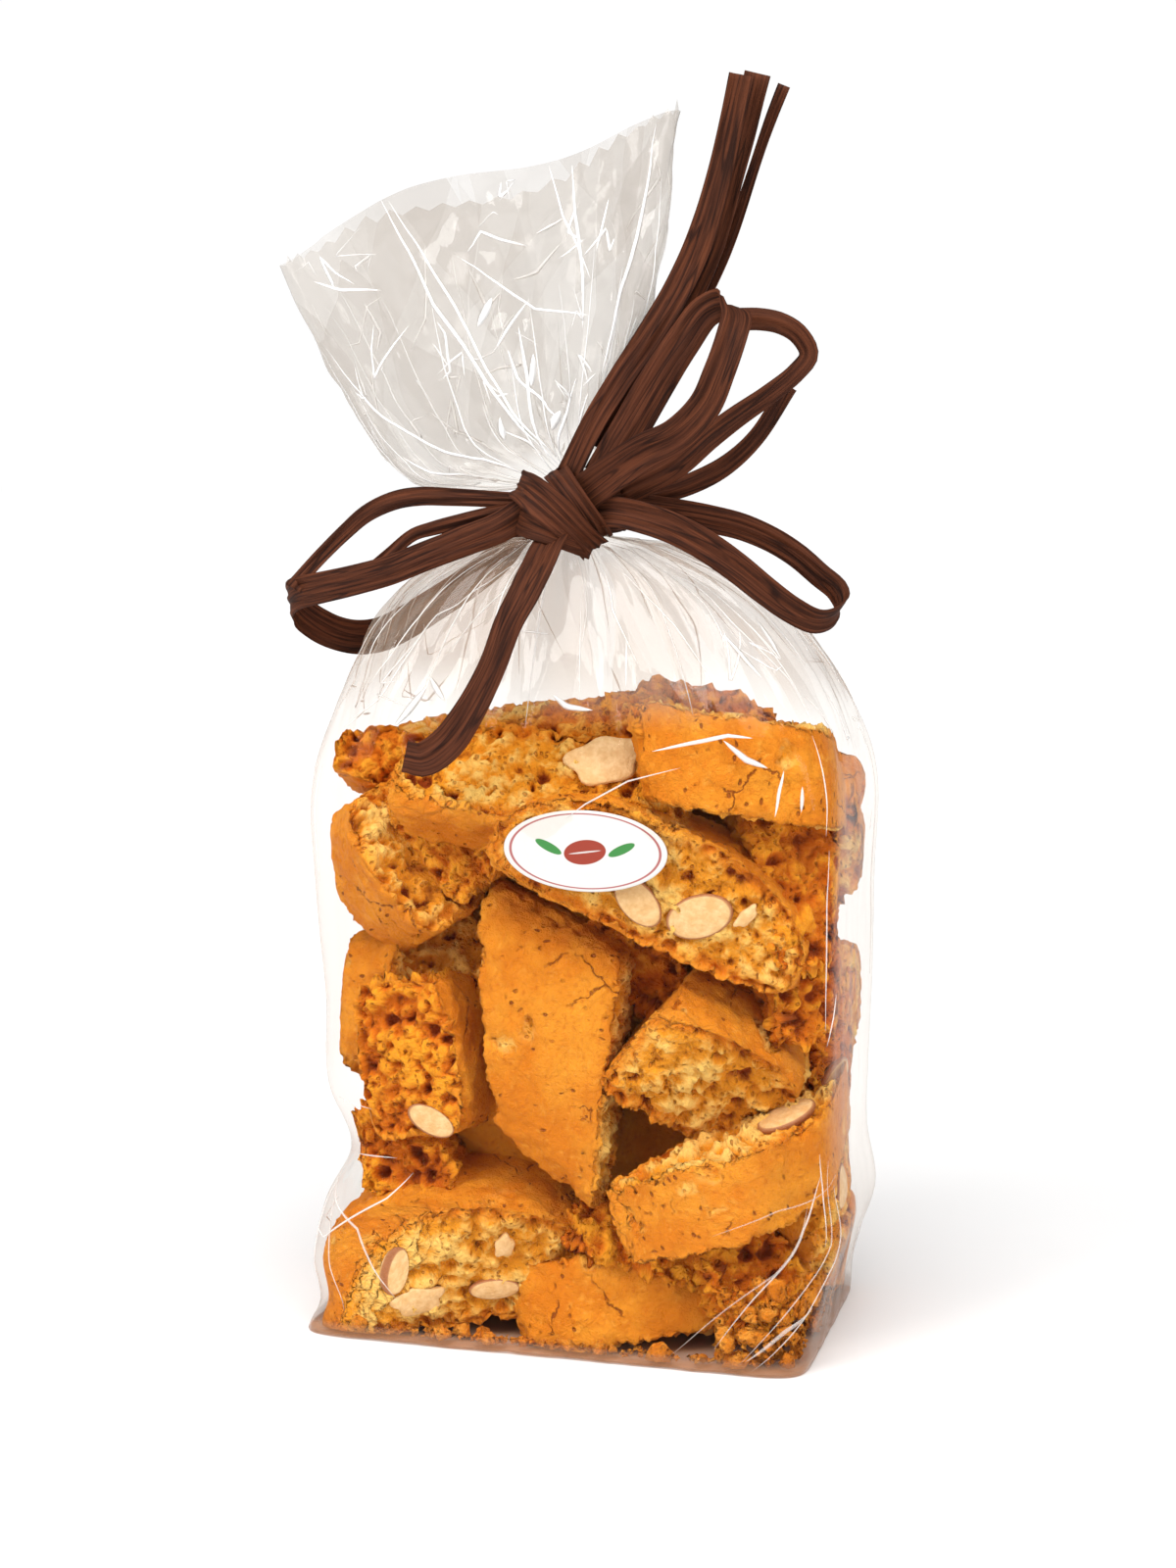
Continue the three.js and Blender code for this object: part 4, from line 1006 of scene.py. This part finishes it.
# Painted shade: the strips darken along the valleys of their pleats.
for across, along, dark in ((0.42, 0.022, 0.7), (1.1, 0.03, 0.35)):
    crease_shade = strip.spread(across, along, 1).noise(1.0, 1) - 0.5
    crease_shade = crease_shade.maths("ABSOLUTE", crease_shade).ease(0.028, 0.004)
    brown = (crease_shade * dark).blend(brown, CREASE_SHADE)
close_finish(start, usual_shader(
    start, Base_Color=(fibre.ease(0.55, 0.8) * 0.5).blend(brown, FIBRE), Roughness=0.55 + 0.25 * fibre,
    Specular_IOR_Level=0.12, Normal=(streak * 0.7 + fibre * 0.4).bump(0.5 * MM, 0.8)))

pleat_tree, start, given = new_shaper("raffia_pleats", ("Fold", "Wander"))
strip = layer_of(start, "strip", "FLOAT_VECTOR")
pleat = strip.spread(0.42, 0.022, 1).noise(1.0, 1) - 0.5
pleat = pleat.maths("ABSOLUTE", pleat) * 5.0 * given["Fold"]
narrow = strip.spread(1.1, 0.03, 1).noise(1.0, 1) - 0.5
narrow = narrow.maths("ABSOLUTE", narrow) * 2.2 * given["Fold"]
wander = (strip.spread(0, 0.06, 1).noise(1.0, 1) - 0.5) * given["Wander"]
rise = (pleat + narrow + wander - 0.4) * MM
shape = moved(start, given["Geometry"], layer_of(start, "facing", "FLOAT_VECTOR").scaled(rise))
close_shaper(start, shape, raffia_finish)


def strand(width, first, last, route, seed):
    """A closed flat strip along a route: points, quads, place on the strip, and facing way."""
    run = route_points(route, 2)[1]
    count = max(12, round(run / 1.1))
    line = route_points(route, count)[0]
    ahead = np.gradient(line, axis=0)
    ahead /= np.linalg.norm(ahead, axis=1)[:, None]
    share = np.linspace(0, 1, count)[:, None]
    if first is None:
        side = np.cross((0, 1, 0), ahead)
    else:
        side = np.array(first) * (1 - share) + np.array(last) * share
    side -= ahead * (side * ahead).sum(1)[:, None]
    side /= np.linalg.norm(side, axis=1)[:, None]
    facing = np.cross(side, ahead)
    u = np.linspace(-0.5, 0.5, PLEAT_POINTS)
    arch = 0.07 * width * (1 - np.abs(2 * u)) - 0.035 * width
    u, arch = np.concatenate([u, u[::-1]]), np.concatenate([arch, arch[::-1]])
    thick = np.concatenate([np.full(PLEAT_POINTS, 0.5), np.full(PLEAT_POINTS, -0.5)]) * RAFFIA_THICK
    narrow = 1 - 0.18 * np.sin(math.pi * share) * np.cos(5 * share + seed)
    across = width * u[None, :, None] * narrow[:, None]
    points = line[:, None] + side[:, None] * across + facing[:, None] * (arch + thick)[None, :, None]
    around = 2 * PLEAT_POINTS
    quads = rings_skin(count, around)
    k = np.arange(PLEAT_POINTS - 1)
    cap = np.stack([k, around - 1 - k, around - 2 - k, k + 1], 1)
    caps = cap, cap[:, ::-1] + (count - 1) * around
    along = np.broadcast_to(np.linspace(0, run, count)[:, None], (count, around))
    strip = np.stack([np.broadcast_to(u * width, along.shape), along, np.full(along.shape, 7.3 * seed)], -1)
    face = np.broadcast_to(facing[:, None], points.shape)
    return (points.reshape(-1, 3), np.concatenate([quads, *caps])[:, ::-1], strip.reshape(-1, 3),
            face.reshape(-1, 3))


def strand_piece(name, parts, node, fold, wander):
    points, quads, strip, facing = joined(parts)
    piece = shaped(name, mesh_of(name, points, quads, strip=strip, facing=facing), pleat_tree,
                   {"Fold": fold, "Wander": wander})
    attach(piece, "root")
    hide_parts(node)


for seed, (name, width, first, last, route) in enumerate(STRANDS):
    strand_piece("raffia_" + name, [strand(width, first, last, route, seed)], name, 0.55, 1.2)
bands = [strand(*band, 20 + seed) for seed, band in enumerate(KNOT_BANDS)]
strand_piece("raffia_knot", bands, "knot", 0.6, 0.4)
wraps = []
for seed, (width, radius, height) in enumerate(NECK_WRAPS):
    turn = np.linspace(0, 2 * math.pi * 1.02, 30)
    route = np.stack([NECK_X + radius * np.cos(turn), radius * np.sin(turn),
                      height + 0.5 * np.sin(turn + seed)], 1)
    wraps.append(strand(width, (0, 0, 1), (0, 0, 1), route, 40 + seed))
strand_piece("raffia_wraps", wraps, "tie", 0.5, 0.3)
